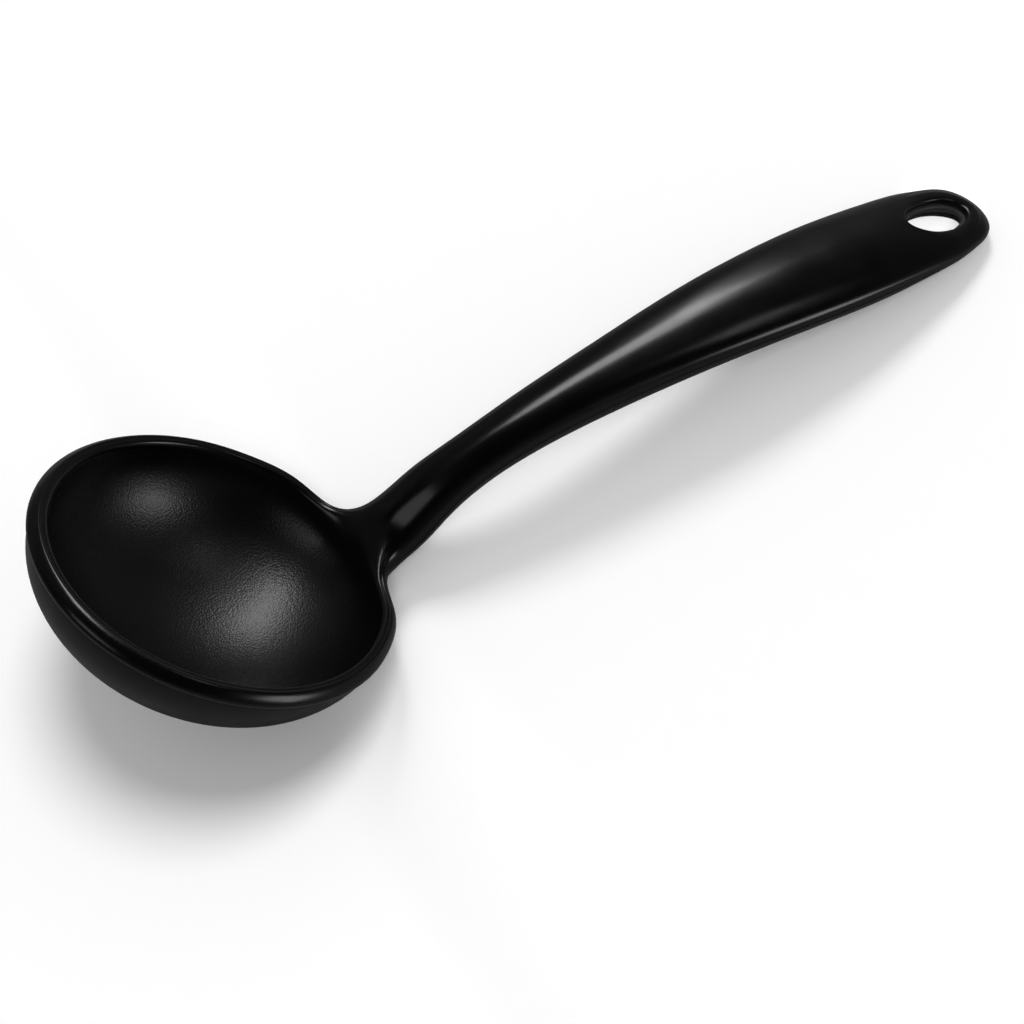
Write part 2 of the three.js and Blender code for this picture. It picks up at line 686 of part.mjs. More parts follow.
// Steel spine: a flat strip bent to the centre line
function strip(startX, endX, width, thickness) {
  const steps = Math.ceil((endX - startX) / SPINE_STEP);
  const places = Array.from({ length: steps + 1 }, (_, i) => startX + ((endX - startX) * i) / steps);
  const top = places.map((x) => fromHandle(x, 0, thickness / 2));
  const bottom = places.map((x) => fromHandle(x, 0, -thickness / 2)).reverse();
  const shape = new THREE.Shape([...top, ...bottom].map((p) => new THREE.Vector2(p.x, p.z)));
  const geometry = new THREE.ExtrudeGeometry(shape, { depth: width, bevelEnabled: false });
  return geometrySolid(geometry.rotateX(Math.PI / 2).translate(0, width / 2, 0));
}
const spineStart = jointX - SPINE_LEAD;
const spineEnd = rowsEnd - SPINE_HOLE_GAP;
const spineWidth = 2 * (WAIST_HALF_WIDTH - GRIP_SKIN - FIT_GAP - CORE_SIDE_WALL);
const spineSlot = strip(
  spineStart - FIT_GAP,
  spineEnd + FIT_GAP,
  spineWidth + 2 * FIT_GAP,
  SPINE_THICKNESS + 2 * FIT_GAP,
);

// Rivets: a shank with two heads, square to the centre line, through nylon and steel
const stiffTop = (x) => PARTING_RISE + crownHeight(x) - GRIP_SKIN - FIT_GAP;
const stiffBottom = (x) => PARTING_RISE - PARTING_GAP - bellyDepth(x) + GRIP_SKIN + FIT_GAP;
function spool(x, top, bottom, headHeight, shankRadius, headRadius) {
  const profile = [
    [0, bottom],
    [headRadius, bottom],
    [headRadius, bottom + headHeight],
    [shankRadius, bottom + headHeight],
    [shankRadius, top - headHeight],
    [headRadius, top - headHeight],
    [headRadius, top],
    [0, top],
  ].map(([r, n]) => new THREE.Vector2(r, n));
  const normal = handleNormal(x);
  const geometry = new THREE.LatheGeometry(profile, RIVET_SIDES)
    .rotateX(Math.PI / 2)
    .rotateY(Math.atan2(normal.x, normal.y))
    .translate(x, 0, centreHeight(x));
  return geometrySolid(geometry);
}
function rivet(x) {
  return spool(
    x,
    stiffTop(x) - RIVET_SINK,
    stiffBottom(x) + RIVET_SINK,
    RIVET_HEAD_HEIGHT,
    RIVET_DIAMETER / 2,
    RIVET_HEAD_DIAMETER / 2,
  );
}
function rivetHole(x) {
  return spool(
    x,
    stiffTop(x) + GRIP_SKIN,
    stiffBottom(x) - GRIP_SKIN,
    RIVET_HEAD_HEIGHT + RIVET_SINK + GRIP_SKIN + FIT_GAP,
    RIVET_DIAMETER / 2 + FIT_GAP,
    RIVET_HEAD_DIAMETER / 2 + FIT_GAP,
  );
}
const rivetPlaces = { spine_rivet_front: jointX - RIVET_SETBACK, spine_rivet_rear: jointX + RIVET_SETBACK };
let rivetHoles = spineSlot;
let spine = strip(spineStart, spineEnd, spineWidth, SPINE_THICKNESS);
for (const x of Object.values(rivetPlaces)) {
  rivetHoles = rivetHoles.add(rivetHole(x));
  spine = spine.subtract(rivetHole(x));
}

// The oval seat of the hang eyelet, square through the handle at the hole
const eyeletOutline = new THREE.Shape().absellipse(
  0,
  0,
  HOLE_HALF_LENGTH + eyeletFlange + FIT_GAP,
  holeHalfWidth + eyeletFlange + FIT_GAP,
);
const seatDepth = CROWN_HEIGHT + BELLY_DEPTH;
const holeNormal = handleNormal(holeX);
const eyeletSeat = geometrySolid(
  new THREE.ExtrudeGeometry(eyeletOutline, { depth: 2 * seatDepth, bevelEnabled: false, curveSegments: EYELET_SIDES })
    .translate(0, 0, -seatDepth)
    .rotateY(Math.atan2(holeNormal.x, holeNormal.y))
    .translate(holeX, 0, centreHeight(holeX)),
);
const stiffCut = stiffBody.subtract(rivetHoles).subtract(eyeletSeat);
const bowlFormer = stiffCut.intersect(halfSpace(jointX - FIT_GAP / 2, -1));
const handleCore = stiffCut.intersect(halfSpace(jointX + FIT_GAP / 2, 1));

// Hang eyelet: an oval bush held between the two skins, its top edge a ledge in the hole
const eyeletSection = [
  { growth: eyeletFlange, fromLow: 0 },
  { growth: eyeletFlange, fromTop: 0 },
  { growth: EYELET_CHAMFER - EYELET_LEDGE, fromTop: 0 },
  { growth: -EYELET_LEDGE, fromTop: EYELET_CHAMFER },
  { growth: -EYELET_LEDGE, fromTop: EYELET_CHAMFER + EYELET_LAND },
  { growth: UNDER_FLARE, fromLow: 0 },
];
function eyeletPoint(side, { growth, fromTop, fromLow }) {
  const angle = (2 * Math.PI * side) / EYELET_SIDES;
  const lipRadius = ovalDistance(angle, lipLand);
  const lipX = holeX + lipRadius * Math.cos(angle);
  const share = tailShare(angle, lipRadius, GRIP_SKIN);
  const top = PARTING_RISE + (crownHeight(lipX) - GRIP_SKIN) * crownShare(share, lipX) - FIT_GAP;
  const low = PARTING_RISE - PARTING_GAP - (bellyDepth(lipX) - GRIP_SKIN) * bellyShare(share) + FIT_GAP;
  const radius = ovalDistance(angle, growth);
  const n = fromTop === undefined ? low + fromLow : top - fromTop;
  return fromHandle(holeX + radius * Math.cos(angle), radius * Math.sin(angle), n);
}
function eyeletSolid() {
  const corners = eyeletSection.length;
  const places = [];
  const triangles = [];
  for (let side = 0; side < EYELET_SIDES; side += 1) {
    const next = (side + 1) % EYELET_SIDES;
    eyeletSection.forEach((corner, k) => {
      const after = (k + 1) % corners;
      places.push(...eyeletPoint(side, corner).toArray());
      const here = side * corners + k;
      const across = next * corners + after;
      triangles.push(here, next * corners + k, across, here, across, side * corners + after);
    });
  }
  return new wasm.Manifold(new wasm.Mesh({
    numProp: 3,
    vertProperties: new Float32Array(places),
    triVerts: new Uint32Array(triangles),
  }));
}
const eyelet = eyeletSolid();

const ladle = new THREE.Group();
function piece(name, solid, material) {
  const mesh = new THREE.Mesh(solidGeometry(solid), material);
  mesh.name = name;
  ladle.add(mesh);
}
piece('upper_skin', upperSkin, silicone);
piece('lower_skin', lowerSkin, siliconeUnder);
piece('bowl_former', bowlFormer, nylon);
piece('handle_core', handleCore, nylon);
piece('steel_spine', spine, steel);
for (const [name, x] of Object.entries(rivetPlaces)) piece(name, rivet(x), steel);
piece('hang_eyelet', eyelet, eyeletNylon);

export default ladle;
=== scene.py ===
# A black silicone ladle on a white table, lit from behind and above.
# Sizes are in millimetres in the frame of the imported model; meshes are made in metres.
import math

import bpy
from mathutils import Matrix, Vector


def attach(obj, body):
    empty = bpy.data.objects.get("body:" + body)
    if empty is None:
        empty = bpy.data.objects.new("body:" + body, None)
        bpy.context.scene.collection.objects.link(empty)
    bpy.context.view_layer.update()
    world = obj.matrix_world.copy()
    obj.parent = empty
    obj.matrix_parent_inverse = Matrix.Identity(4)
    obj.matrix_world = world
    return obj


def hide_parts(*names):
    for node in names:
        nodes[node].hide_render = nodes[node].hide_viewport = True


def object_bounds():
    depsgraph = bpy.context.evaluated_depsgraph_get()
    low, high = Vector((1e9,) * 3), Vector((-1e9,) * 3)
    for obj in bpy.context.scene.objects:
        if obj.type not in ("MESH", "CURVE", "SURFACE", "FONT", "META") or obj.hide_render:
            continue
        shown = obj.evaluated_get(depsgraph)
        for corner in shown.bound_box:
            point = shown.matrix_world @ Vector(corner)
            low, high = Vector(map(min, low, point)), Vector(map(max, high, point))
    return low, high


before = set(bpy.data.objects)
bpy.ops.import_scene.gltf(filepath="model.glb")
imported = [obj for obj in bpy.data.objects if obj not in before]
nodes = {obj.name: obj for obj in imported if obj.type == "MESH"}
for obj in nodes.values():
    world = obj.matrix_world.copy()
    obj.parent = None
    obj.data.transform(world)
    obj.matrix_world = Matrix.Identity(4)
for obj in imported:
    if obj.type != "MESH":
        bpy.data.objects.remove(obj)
cad_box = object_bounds()
MM = 0.001

# Bowl, in its own frame from the middle of the rim plane.
# The dish starts LAND_ROUND below the rim; LAND_CROWN rounds the edges of the rim's land.
RIM_HALF_WIDTH = 45.0
RIM_HALF_LENGTH = 46.4
LAND_ROUND = 1.0
LAND_CROWN = 1.6
BEAD_HEIGHT = 3.0
BEAD_OVERHANG = 0.8
BOWL_DEPTH = 32.0
BOWL_SKIN = 1.0
FORMER_WALL = 0.9
EDGE_DEPTH = 6.0
BOWL_TILT = math.radians(35.8)
NECK_SECTOR = math.radians(34)

# Handle: centre line from the side, outline from above, section
NECK_REACH = 8.4
NECK_DROP = 1.0
NECK_SLOPE = 0.6
CREST_REACH = 121.0
CREST_HEIGHT = 23.2
HANDLE_REACH = 264.8
TAIL_SLOPE = -0.185
NECK_HALF_WIDTH = 9.3
WAIST_REACH = 68.0
WAIST_HALF_WIDTH = 7.6
TAIL_LENGTH = 60.0
GRIP_HALF_WIDTH = 17.1
TAIL_ROUNDNESS = 3
CROWN_HEIGHT = 6.0
TAIL_CROWN_HEIGHT = 4.3
CROWN_ROUNDNESS = 2.2
RIDGE_ROUNDNESS = 1.8
SHOULDER_ROUNDNESS = 2.2
BELLY_ROUNDNESS = 4
NECK_BELLY_DEPTH = 5.2
BELLY_DEPTH = 7.2
TAIL_BELLY_DEPTH = 5.6
PARTING_RISE = 1.1
PARTING_GAP = 0.35
GRIP_SKIN = 2.0
FIT_GAP = 0.3
REST_CUT = 0.4

# Hang hole and its bush
HOLE_HALF_LENGTH = 12.9
TAIL_BAND = 7.6
SIDE_BAND = 8.4
LIP_ROUND = 0.7
LIP_MARGIN = 0.8
UNDER_FLARE = 1.4
UNDER_ROUND = 0.9
EYELET_LEDGE = 1.2
EYELET_LAND = 1.0
EYELET_WALL = 1.0
EYELET_CHAMFER = 0.4
EYELET_SIDES = 96

# How many lines and rows the cage of a skin has, and where they lie
BOWL_LINES = 24
NECK_LINES = 2
TAIL_LINES = 12
PATCH_CELLS = 3
ROW_SHARES = [0, 0.06, 0.135, 0.25, 0.41, 0.595, 0.785, 0.925]
DISH_RINGS = [math.sin(math.radians(angle)) for angle in (30, 42, 54, 65)]
LINING_RING = math.sin(math.radians(78))
WALL_RINGS = [0.97, 0.996, 1]
CROWN_COLUMNS = [0, 0.22, 0.52, 0.72, 0.86, 0.96, 1]
BELLY_COLUMNS = [0, 0.33, 0.65, 0.9, 1]
HIDDEN_COLUMNS = [0, 0.33, 0.62, 1]
CROWN_END_RINGS = [0.25, 0.6, 0.92, 1]
BELLY_END_RINGS = [0.6, 1]
HIDDEN_END_RINGS = [1]
NECK_ROWS = 2
FIT_ROUNDS = 12
HALVINGS = 40
SLOPE_STEP = 0.5
SKIN_LEVEL = 3
SHARP_ANGLE = math.radians(50)
EYELET_SHARP_ANGLE = math.radians(30)
SEAM = "seam"
SHOWN = "shown"
ROUND_DISH_FADE = (0.84, 0.97)

# Worked out from the sizes above
COS_TILT = math.cos(BOWL_TILT)
SIN_TILT = math.sin(BOWL_TILT)
BOWL_WALL = 2 * (BOWL_SKIN + FIT_GAP) + FORMER_WALL
RIM_LAND = BOWL_WALL + BEAD_OVERHANG
OUTER_LEVEL = -BEAD_HEIGHT - PARTING_GAP
OUTER_HALF_LENGTH = RIM_HALF_LENGTH - BEAD_OVERHANG
OUTER_HALF_WIDTH = RIM_HALF_WIDTH - BEAD_OVERHANG
OUTER_DEPTH = BOWL_DEPTH + OUTER_LEVEL
INNER_LEVEL = -LAND_ROUND
INNER_DEPTH = BOWL_DEPTH - BOWL_WALL - LAND_ROUND
SUPPORT = math.hypot(OUTER_HALF_LENGTH * SIN_TILT, OUTER_DEPTH * COS_TILT)
REST_U = OUTER_HALF_LENGTH**2 * SIN_TILT / SUPPORT
REST_W = OUTER_LEVEL - OUTER_DEPTH**2 * COS_TILT / SUPPORT
RIM_HEIGHT = REST_U * SIN_TILT - REST_W * COS_TILT - REST_CUT
REST_X = REST_U * COS_TILT + REST_W * SIN_TILT


def mix(start, end, share):
    return start + (end - start) * share


def clamp(value, low=0.0, high=1.0):
    return min(max(value, low), high)


def ease(value, low, high):
    share = clamp((value - low) / (high - low))
    return share * share * (3 - 2 * share)


def from_bowl(u, v, w):
    return Vector((u * COS_TILT + w * SIN_TILT - REST_X, v, RIM_HEIGHT - u * SIN_TILT + w * COS_TILT))


# Places along the handle
RIM_NECK = from_bowl(RIM_HALF_LENGTH, 0, 0)
NECK_X = RIM_NECK.x + NECK_REACH
NECK_Z = RIM_NECK.z - NECK_DROP
CREST_X = CREST_REACH - REST_X
WAIST_X = WAIST_REACH - REST_X
TAIL_X = HANDLE_REACH - REST_X
GRIP_X = TAIL_X - TAIL_LENGTH
HOLE_X = TAIL_X - TAIL_BAND - HOLE_HALF_LENGTH
EYELET_FLANGE = UNDER_FLARE + EYELET_WALL
LIP_LAND = EYELET_FLANGE + LIP_MARGIN
ROWS_END = HOLE_X - HOLE_HALF_LENGTH - LIP_LAND
CREST_TO_TAIL = TAIL_X - CREST_X


def belly_depth(x):
    grown = mix(NECK_BELLY_DEPTH, BELLY_DEPTH, ease(x, NECK_X, CREST_X))
    return mix(grown, TAIL_BELLY_DEPTH, ease(x, GRIP_X, TAIL_X))


def crown_height(x):
    return mix(CROWN_HEIGHT, TAIL_CROWN_HEIGHT, ease(x, GRIP_X, TAIL_X))


def hermite(t):
    start = 1 - 3 * t**2 + 2 * t**3
    return start, 1 - start, t - 2 * t**2 + t**3, t**3 - t**2


def tail_height():
    start, end, _, end_slope = hermite((HOLE_X - CREST_X) / CREST_TO_TAIL)
    below = belly_depth(HOLE_X) - PARTING_RISE
    centre = below - REST_CUT - HOLE_HALF_LENGTH * TAIL_SLOPE / 2
    return (centre - start * CREST_HEIGHT - end_slope * TAIL_SLOPE * CREST_TO_TAIL) / end


TAIL_Z = tail_height()


def centre_height(x):
    if x < CREST_X:
        length = CREST_X - NECK_X
        start, end, start_slope, _ = hermite((x - NECK_X) / length)
        return start * NECK_Z + end * CREST_HEIGHT + start_slope * NECK_SLOPE * length
    start, end, _, end_slope = hermite((x - CREST_X) / CREST_TO_TAIL)
    return start * CREST_HEIGHT + end * TAIL_Z + end_slope * TAIL_SLOPE * CREST_TO_TAIL


def from_handle(x, y, n):
    rise = centre_height(x + SLOPE_STEP) - centre_height(x - SLOPE_STEP)
    normal = Vector((-rise, 2 * SLOPE_STEP)).normalized()
    return Vector((x + normal.x * n, y, centre_height(x) + normal.y * n))


def half_width(x):
    if x > GRIP_X:
        share = min((x - GRIP_X) / TAIL_LENGTH, 1)
        return GRIP_HALF_WIDTH * (1 - share**TAIL_ROUNDNESS) ** (1 / TAIL_ROUNDNESS)
    if x < WAIST_X:
        return mix(NECK_HALF_WIDTH, WAIST_HALF_WIDTH, ease(x, NECK_X, WAIST_X))
    return mix(WAIST_HALF_WIDTH, GRIP_HALF_WIDTH, ease(x, WAIST_X, GRIP_X))


HOLE_HALF_WIDTH = half_width(HOLE_X) - SIDE_BAND


def crown_share(f, x):
    ridge = ease(x, NECK_X, WAIST_X) * (1 - ease(x, GRIP_X, HOLE_X))
    power = mix(CROWN_ROUNDNESS, RIDGE_ROUNDNESS, ridge)
    return (1 - clamp(f) ** power) ** (1 / SHOULDER_ROUNDNESS)


def belly_share(f):
    return math.sqrt(1 - clamp(f) ** BELLY_ROUNDNESS)


def bowl_azimuths():
    half = NECK_SECTOR / 2
    free = BOWL_LINES - 2 * NECK_LINES
    first = [half * j / NECK_LINES for j in range(NECK_LINES)]
    round_bowl = [half + (2 * math.pi - NECK_SECTOR) * j / free for j in range(free + 1)]
    last = [2 * math.pi - half * j / NECK_LINES for j in range(NECK_LINES - 1, 0, -1)]
    return first + round_bowl + last


AZIMUTHS = bowl_azimuths()


def azimuth_at(position):
    lower = math.floor(position) % BOWL_LINES
    upper = (lower + 1) % BOWL_LINES
    following = 2 * math.pi if upper == 0 else AZIMUTHS[upper]
    return mix(AZIMUTHS[lower], following, position - math.floor(position))


def handle_x(row):
    return mix(NECK_X, ROWS_END, ROW_SHARES[row - 1])


def outline_distance(angle):
    near = 0.0
    far = CREST_TO_TAIL
    for _ in range(HALVINGS):
        middle = (near + far) / 2
        x = HOLE_X + middle * math.cos(angle)
        if x > TAIL_X or middle * abs(math.sin(angle)) > half_width(x):
            far = middle
        else:
            near = middle
    return near


def oval_distance(angle, growth):
    long_way = math.cos(angle) / (HOLE_HALF_LENGTH + growth)
    short_way = math.sin(angle) / (HOLE_HALF_WIDTH + growth)
    return 1 / math.hypot(long_way, short_way)


class Sheet:
    """One side of the ladle as four-sided cells: dish, rim strips, handle rows and the rings of the hole."""

    def __init__(self, layer):
        self.layer = layer
        self.strips = layer.strips
        self.rows = len(ROW_SHARES) + 1
        self.last_ring = len(layer.rings) - 1
        self.points = []
        self.cells = []
        self.index = {}
        self.add_dish()
        self.add_strips()
        self.add_handle()
        self.add_hole()
        self.trace_edges()

    def at(self, key, place, *place_inputs):
        if key not in self.index:
            self.index[key] = len(self.points)
            self.points.append(place(*place_inputs))
        return self.index[key]

    def patch_line(self, i, j, ring):
        if i == ring:
            line = j
        elif j == ring:
            line = 2 * ring - i
        elif i == -ring:
            line = 4 * ring - j
        else:
            line = 6 * ring + i
        return line % (8 * ring)

    def patch(self, i, j):
        ring = max(abs(i), abs(j))
        if ring == 0:
            return self.at("middle", self.layer.dish, 0, 0)
        line = self.patch_line(i, j, ring)
        if ring == PATCH_CELLS:
            return self.bowl(0, line)
        share = self.layer.rings[0] * ring / PATCH_CELLS
        azimuth = azimuth_at(line * PATCH_CELLS / ring)
        return self.at(("patch", i, j), self.layer.dish, share, azimuth)

    def bowl(self, ring, j):
        line = j % BOWL_LINES
        return self.at(("bowl", ring, line), self.layer.dish, self.layer.rings[ring], AZIMUTHS[line])

    def rim(self, k, j):
        if k == 0:
            return self.bowl(self.last_ring, j)
        line = j % BOWL_LINES
        return self.at(("rim", k, line), self.layer.rim, k, AZIMUTHS[line])

    def tail(self, k, j):
        line = j % TAIL_LINES
        angle = math.pi - 2 * math.pi * line / TAIL_LINES
        return self.at(("tail", k, line), self.layer.tail, k, angle)

    def row(self, row, column):
        beyond = max(abs(column) - NECK_LINES, 0)
        line = int(clamp(column, -NECK_LINES, NECK_LINES))
        if row == 0:
            return self.rim(beyond, line)
        if row == self.rows:
            return self.tail(beyond, line)
        side = (column > 0) - (column < 0)
        return self.at(("row", row, column), self.layer.handle, row, abs(column), side)

    def add_dish(self):
        span = range(-PATCH_CELLS, PATCH_CELLS)
        for i in span:
            for j in span:
                corners = [(i, j), (i + 1, j), (i + 1, j + 1), (i, j + 1)]
                self.cells.append([self.patch(*corner) for corner in corners])
        for ring in range(self.last_ring):
            for j in range(BOWL_LINES):
                corners = [(ring, j), (ring + 1, j), (ring + 1, j + 1), (ring, j + 1)]
                self.cells.append([self.bowl(*corner) for corner in corners])

    def add_strips(self):
        for k in range(self.strips):
            for j in range(NECK_LINES, BOWL_LINES - NECK_LINES):
                corners = [(k, j), (k + 1, j), (k + 1, j + 1), (k, j + 1)]
                self.cells.append([self.rim(*corner) for corner in corners])
            for j in range(NECK_LINES, TAIL_LINES - NECK_LINES):
                corners = [(k, j), (k, j + 1), (k + 1, j + 1), (k + 1, j)]
                self.cells.append([self.tail(*corner) for corner in corners])

    def add_handle(self):
        edge = NECK_LINES + self.strips
        for row in range(self.rows):
            for c in range(-edge, edge):
                corners = [(row, c), (row + 1, c), (row + 1, c + 1), (row, c + 1)]
                self.cells.append([self.row(*corner) for corner in corners])

    def add_hole(self):
        for k in range(1 - len(self.layer.hole_rings), 0):
            for j in range(TAIL_LINES):
                corners = [(k, j), (k, j + 1), (k + 1, j + 1), (k + 1, j)]
                self.cells.append([self.tail(*corner) for corner in corners])

    def trace_edges(self):
        edge = NECK_LINES + self.strips
        rim = [self.rim(self.strips, j) for j in range(NECK_LINES, BOWL_LINES - NECK_LINES)]
        there = [self.row(row, -edge) for row in range(self.rows)]
        end = [self.tail(self.strips, j) for j in range(TAIL_LINES - NECK_LINES, NECK_LINES, -1)]
        back = [self.row(row, edge) for row in range(self.rows, 0, -1)]
        innermost = 1 - len(self.layer.hole_rings)
        self.outline = rim + there + end + back
        self.hole = [self.tail(innermost, j) for j in range(TAIL_LINES)]


class Layer:
    """Where a sheet lies: how deep in the bowl and in the grip, and its lines."""

    def __init__(self, bowl_inset, grip_inset, rim_lines, columns, end_rings, hole_rings):
        self.bowl_inset = bowl_inset
        self.grip_inset = grip_inset
        self.rim_lines = rim_lines
        self.strips = len(rim_lines)
        self.columns = columns
        self.end_rings = end_rings
        self.hole_rings = hole_rings

    def row_inset(self, row):
        return mix(self.bowl_inset, self.grip_inset, min(row / NECK_ROWS, 1))

    def handle(self, row, column, side):
        x = handle_x(row)
        inset = self.row_inset(row)
        share = self.columns[column]
        return from_handle(x, side * share * (half_width(x) - inset), self.section(x, share, inset))

    def tail(self, k, angle):
        lip = oval_distance(angle, self.hole_rings[-1][0])
        outline = outline_distance(angle) - self.grip_inset
        radius = lip
        sink = 0.0
        if k > 0:
            radius = mix(lip, outline, self.end_rings[k - 1])
        if k < 0:
            growth, sink = self.hole_rings[k - 1]
            radius = oval_distance(angle, growth)
        reach = max(radius, lip)
        height = self.section(HOLE_X + reach * math.cos(angle), reach / outline, self.grip_inset)
        x = HOLE_X + radius * math.cos(angle)
        return from_handle(x, radius * math.sin(angle), height - self.side * sink)


class UpperLayer(Layer):
    side = 1

    def __init__(self, edge_level, **lines):
        super().__init__(**lines)
        self.half_length = RIM_HALF_LENGTH - RIM_LAND + self.bowl_inset
        self.half_span = RIM_HALF_WIDTH - RIM_LAND + self.bowl_inset
        self.depth = INNER_DEPTH + self.bowl_inset
        edge_ring = math.sqrt(1 - ((INNER_LEVEL - edge_level) / self.depth) ** 2)
        extra = [LINING_RING] if edge_ring == 1 else []
        self.rings = [*DISH_RINGS, *extra, edge_ring]

    def dish(self, share, azimuth):
        level = INNER_LEVEL - self.depth * math.sqrt(1 - share**2)
        u = self.half_length * share * math.cos(azimuth)
        return from_bowl(u, self.half_span * share * math.sin(azimuth), level)

    def rim(self, k, azimuth):
        inset, level = self.rim_lines[k - 1]
        u = (RIM_HALF_LENGTH - inset) * math.cos(azimuth)
        return from_bowl(u, (RIM_HALF_WIDTH - inset) * math.sin(azimuth), level)

    def section(self, x, share, inset):
        return PARTING_RISE + (crown_height(x) - inset) * crown_share(share, x)


class LowerLayer(Layer):
    side = -1

    def __init__(self, **lines):
        super().__init__(**lines)
        self.half_length = OUTER_HALF_LENGTH - self.bowl_inset
        self.half_span = OUTER_HALF_WIDTH - self.bowl_inset
        self.depth = OUTER_DEPTH - self.bowl_inset
        self.rings = [*DISH_RINGS, WALL_RINGS[0]]

    def dish(self, share, azimuth):
        level = OUTER_LEVEL - self.depth * math.sqrt(1 - share**2)
        u = self.half_length * share * math.cos(azimuth)
        return from_bowl(u, self.half_span * share * math.sin(azimuth), level)

    def rim(self, k, azimuth):
        return self.dish(self.rim_lines[k - 1], azimuth)

    def section(self, x, share, inset):
        return PARTING_RISE - PARTING_GAP - (belly_depth(x) - inset) * belly_share(share)


def lip_rings(growth, rounding):
    wall = [(growth, GRIP_SKIN - LIP_ROUND), (growth, rounding)]
    return wall + [(growth + rounding, 0.0), (LIP_LAND, 0.0)]


def hidden_rings(growth):
    return [(growth, 0.0), (LIP_LAND, 0.0)]


def closed_cage(upper, lower):
    """Joins an upper and a lower sheet along their outlines and round the hole; those loops are seams."""
    shift = len(upper.points)
    points = upper.points + lower.points
    cells = upper.cells + [[i + shift for i in reversed(cell)] for cell in lower.cells]
    seams = set()
    for top, bottom in ((upper.outline, lower.outline), (upper.hole, lower.hole)):
        for i, here in enumerate(top):
            there = top[(i + 1) % len(top)]
            under = bottom[i] + shift
            under_there = bottom[(i + 1) % len(bottom)] + shift
            cells.append([here, under, under_there, there])
            seams.add(frozenset((here, there)))
            seams.add(frozenset((under, under_there)))
    return points, cells, seams


def fit_cage(points, cells, seams):
    """Moves the points until the smooth surface passes through where they were set."""
    edges = [set() for _ in points]
    opposite = [[] for _ in points]
    seam = [[] for _ in points]
    for cell in cells:
        for i, v in enumerate(cell):
            edges[v] |= {cell[(i + 1) % 4], cell[(i + 3) % 4]}
            opposite[v].append(cell[(i + 2) % 4])
    for a, b in seams:
        seam[a].append(b)
        seam[b].append(a)

    def limit(placed, v):
        if len(seam[v]) == 2:
            return (sum((placed[i] for i in seam[v]), Vector()) + 4 * placed[v]) / 6
        n = len(edges[v])
        near = sum((placed[i] for i in edges[v]), Vector())
        far = sum((placed[i] for i in opposite[v]), Vector())
        return (n * n * placed[v] + 4 * near + far) / (n * (n + 5))

    placed = list(points)
    for _ in range(FIT_ROUNDS):
        limits = [limit(placed, v) for v in range(len(placed))]
        placed = [p + target - reached for p, target, reached in zip(placed, points, limits)]
    return placed


def new_object(name, points, cells):
    mesh = bpy.data.meshes.new(name)
    mesh.from_pydata([p * MM for p in points], [], cells)
    mesh.update()
    made = bpy.data.objects.new(name, mesh)
    bpy.context.scene.collection.objects.link(made)
    return made


# Geometry Nodes tree that turns a cage into the finished skin
def skin_tree():
    tree = bpy.data.node_groups.new("moulded_skin", "GeometryNodeTree")
    face = tree.interface
    face.new_socket("Cage", in_out="INPUT", socket_type="NodeSocketGeometry")
    for name, kind in (("Level", "Int"), ("Sharp Angle", "Float"), ("Material", "Material")):
        face.new_socket(name, in_out="INPUT", socket_type="NodeSocket" + kind)
    face.new_socket("Skin", in_out="OUTPUT", socket_type="NodeSocketGeometry")
    new = tree.nodes.new
    link = tree.links.new
    given = new("NodeGroupInput")
    seam = new("GeometryNodeInputNamedAttribute")
    seam.data_type = "FLOAT"
    seam.inputs["Name"].default_value = SEAM
    smooth = new("GeometryNodeSubdivisionSurface")
    place = new("GeometryNodeInputPosition")
    parts = new("ShaderNodeSeparateXYZ")
    table = new("ShaderNodeMath")
    table.operation = "MAXIMUM"
    table.inputs[1].default_value = 0.0
    rested = new("ShaderNodeCombineXYZ")
    rest = new("GeometryNodeSetPosition")
    shade = new("GeometryNodeSetShadeSmooth")
    angle = new("GeometryNodeInputMeshEdgeAngle")
    sharp = new("FunctionNodeCompare")
    sharp.operation = "GREATER_THAN"
    crisp = new("GeometryNodeSetShadeSmooth")
    crisp.domain = "EDGE"
    crisp.inputs["Shade Smooth"].default_value = False
    real = new("GeometryNodeRealizeInstances")
    finish = new("GeometryNodeSetMaterial")
    out = new("NodeGroupOutput")
    link(given.outputs["Cage"], smooth.inputs["Mesh"])
    link(given.outputs["Level"], smooth.inputs["Level"])
    link(seam.outputs["Attribute"], smooth.inputs["Edge Crease"])
    link(place.outputs["Position"], parts.inputs[0])
    link(parts.outputs["Z"], table.inputs[0])
    link(parts.outputs["X"], rested.inputs["X"])
    link(parts.outputs["Y"], rested.inputs["Y"])
    link(table.outputs[0], rested.inputs["Z"])
    link(smooth.outputs["Mesh"], rest.inputs["Geometry"])
    link(rested.outputs[0], rest.inputs["Position"])
    link(rest.outputs["Geometry"], shade.inputs["Geometry"])
    link(angle.outputs["Unsigned Angle"], sharp.inputs[0])
    link(given.outputs["Sharp Angle"], sharp.inputs[1])
    link(shade.outputs["Geometry"], crisp.inputs["Geometry"])
    link(sharp.outputs["Result"], crisp.inputs["Selection"])
    link(crisp.outputs["Geometry"], real.inputs["Geometry"])
    link(real.outputs["Geometry"], finish.inputs["Geometry"])
    link(given.outputs["Material"], finish.inputs["Material"])
    link(finish.outputs["Geometry"], out.inputs["Skin"])
    return tree


def grow(made, tree, values):
    """Runs a Geometry Nodes tree on an object and keeps the result as its plain mesh."""
    modifier = made.modifiers.new(tree.name, "NODES")
    modifier.node_group = tree
    for item in tree.interface.items_tree:
        if item.in_out == "INPUT" and item.name in values:
            modifier[item.identifier] = values[item.name]
    bpy.context.view_layer.update()
    evaluated = made.evaluated_get(bpy.context.evaluated_depsgraph_get())
    finished = bpy.data.meshes.new_from_object(evaluated)
    made.modifiers.remove(modifier)
    made.data = finished
    finished.name = made.name


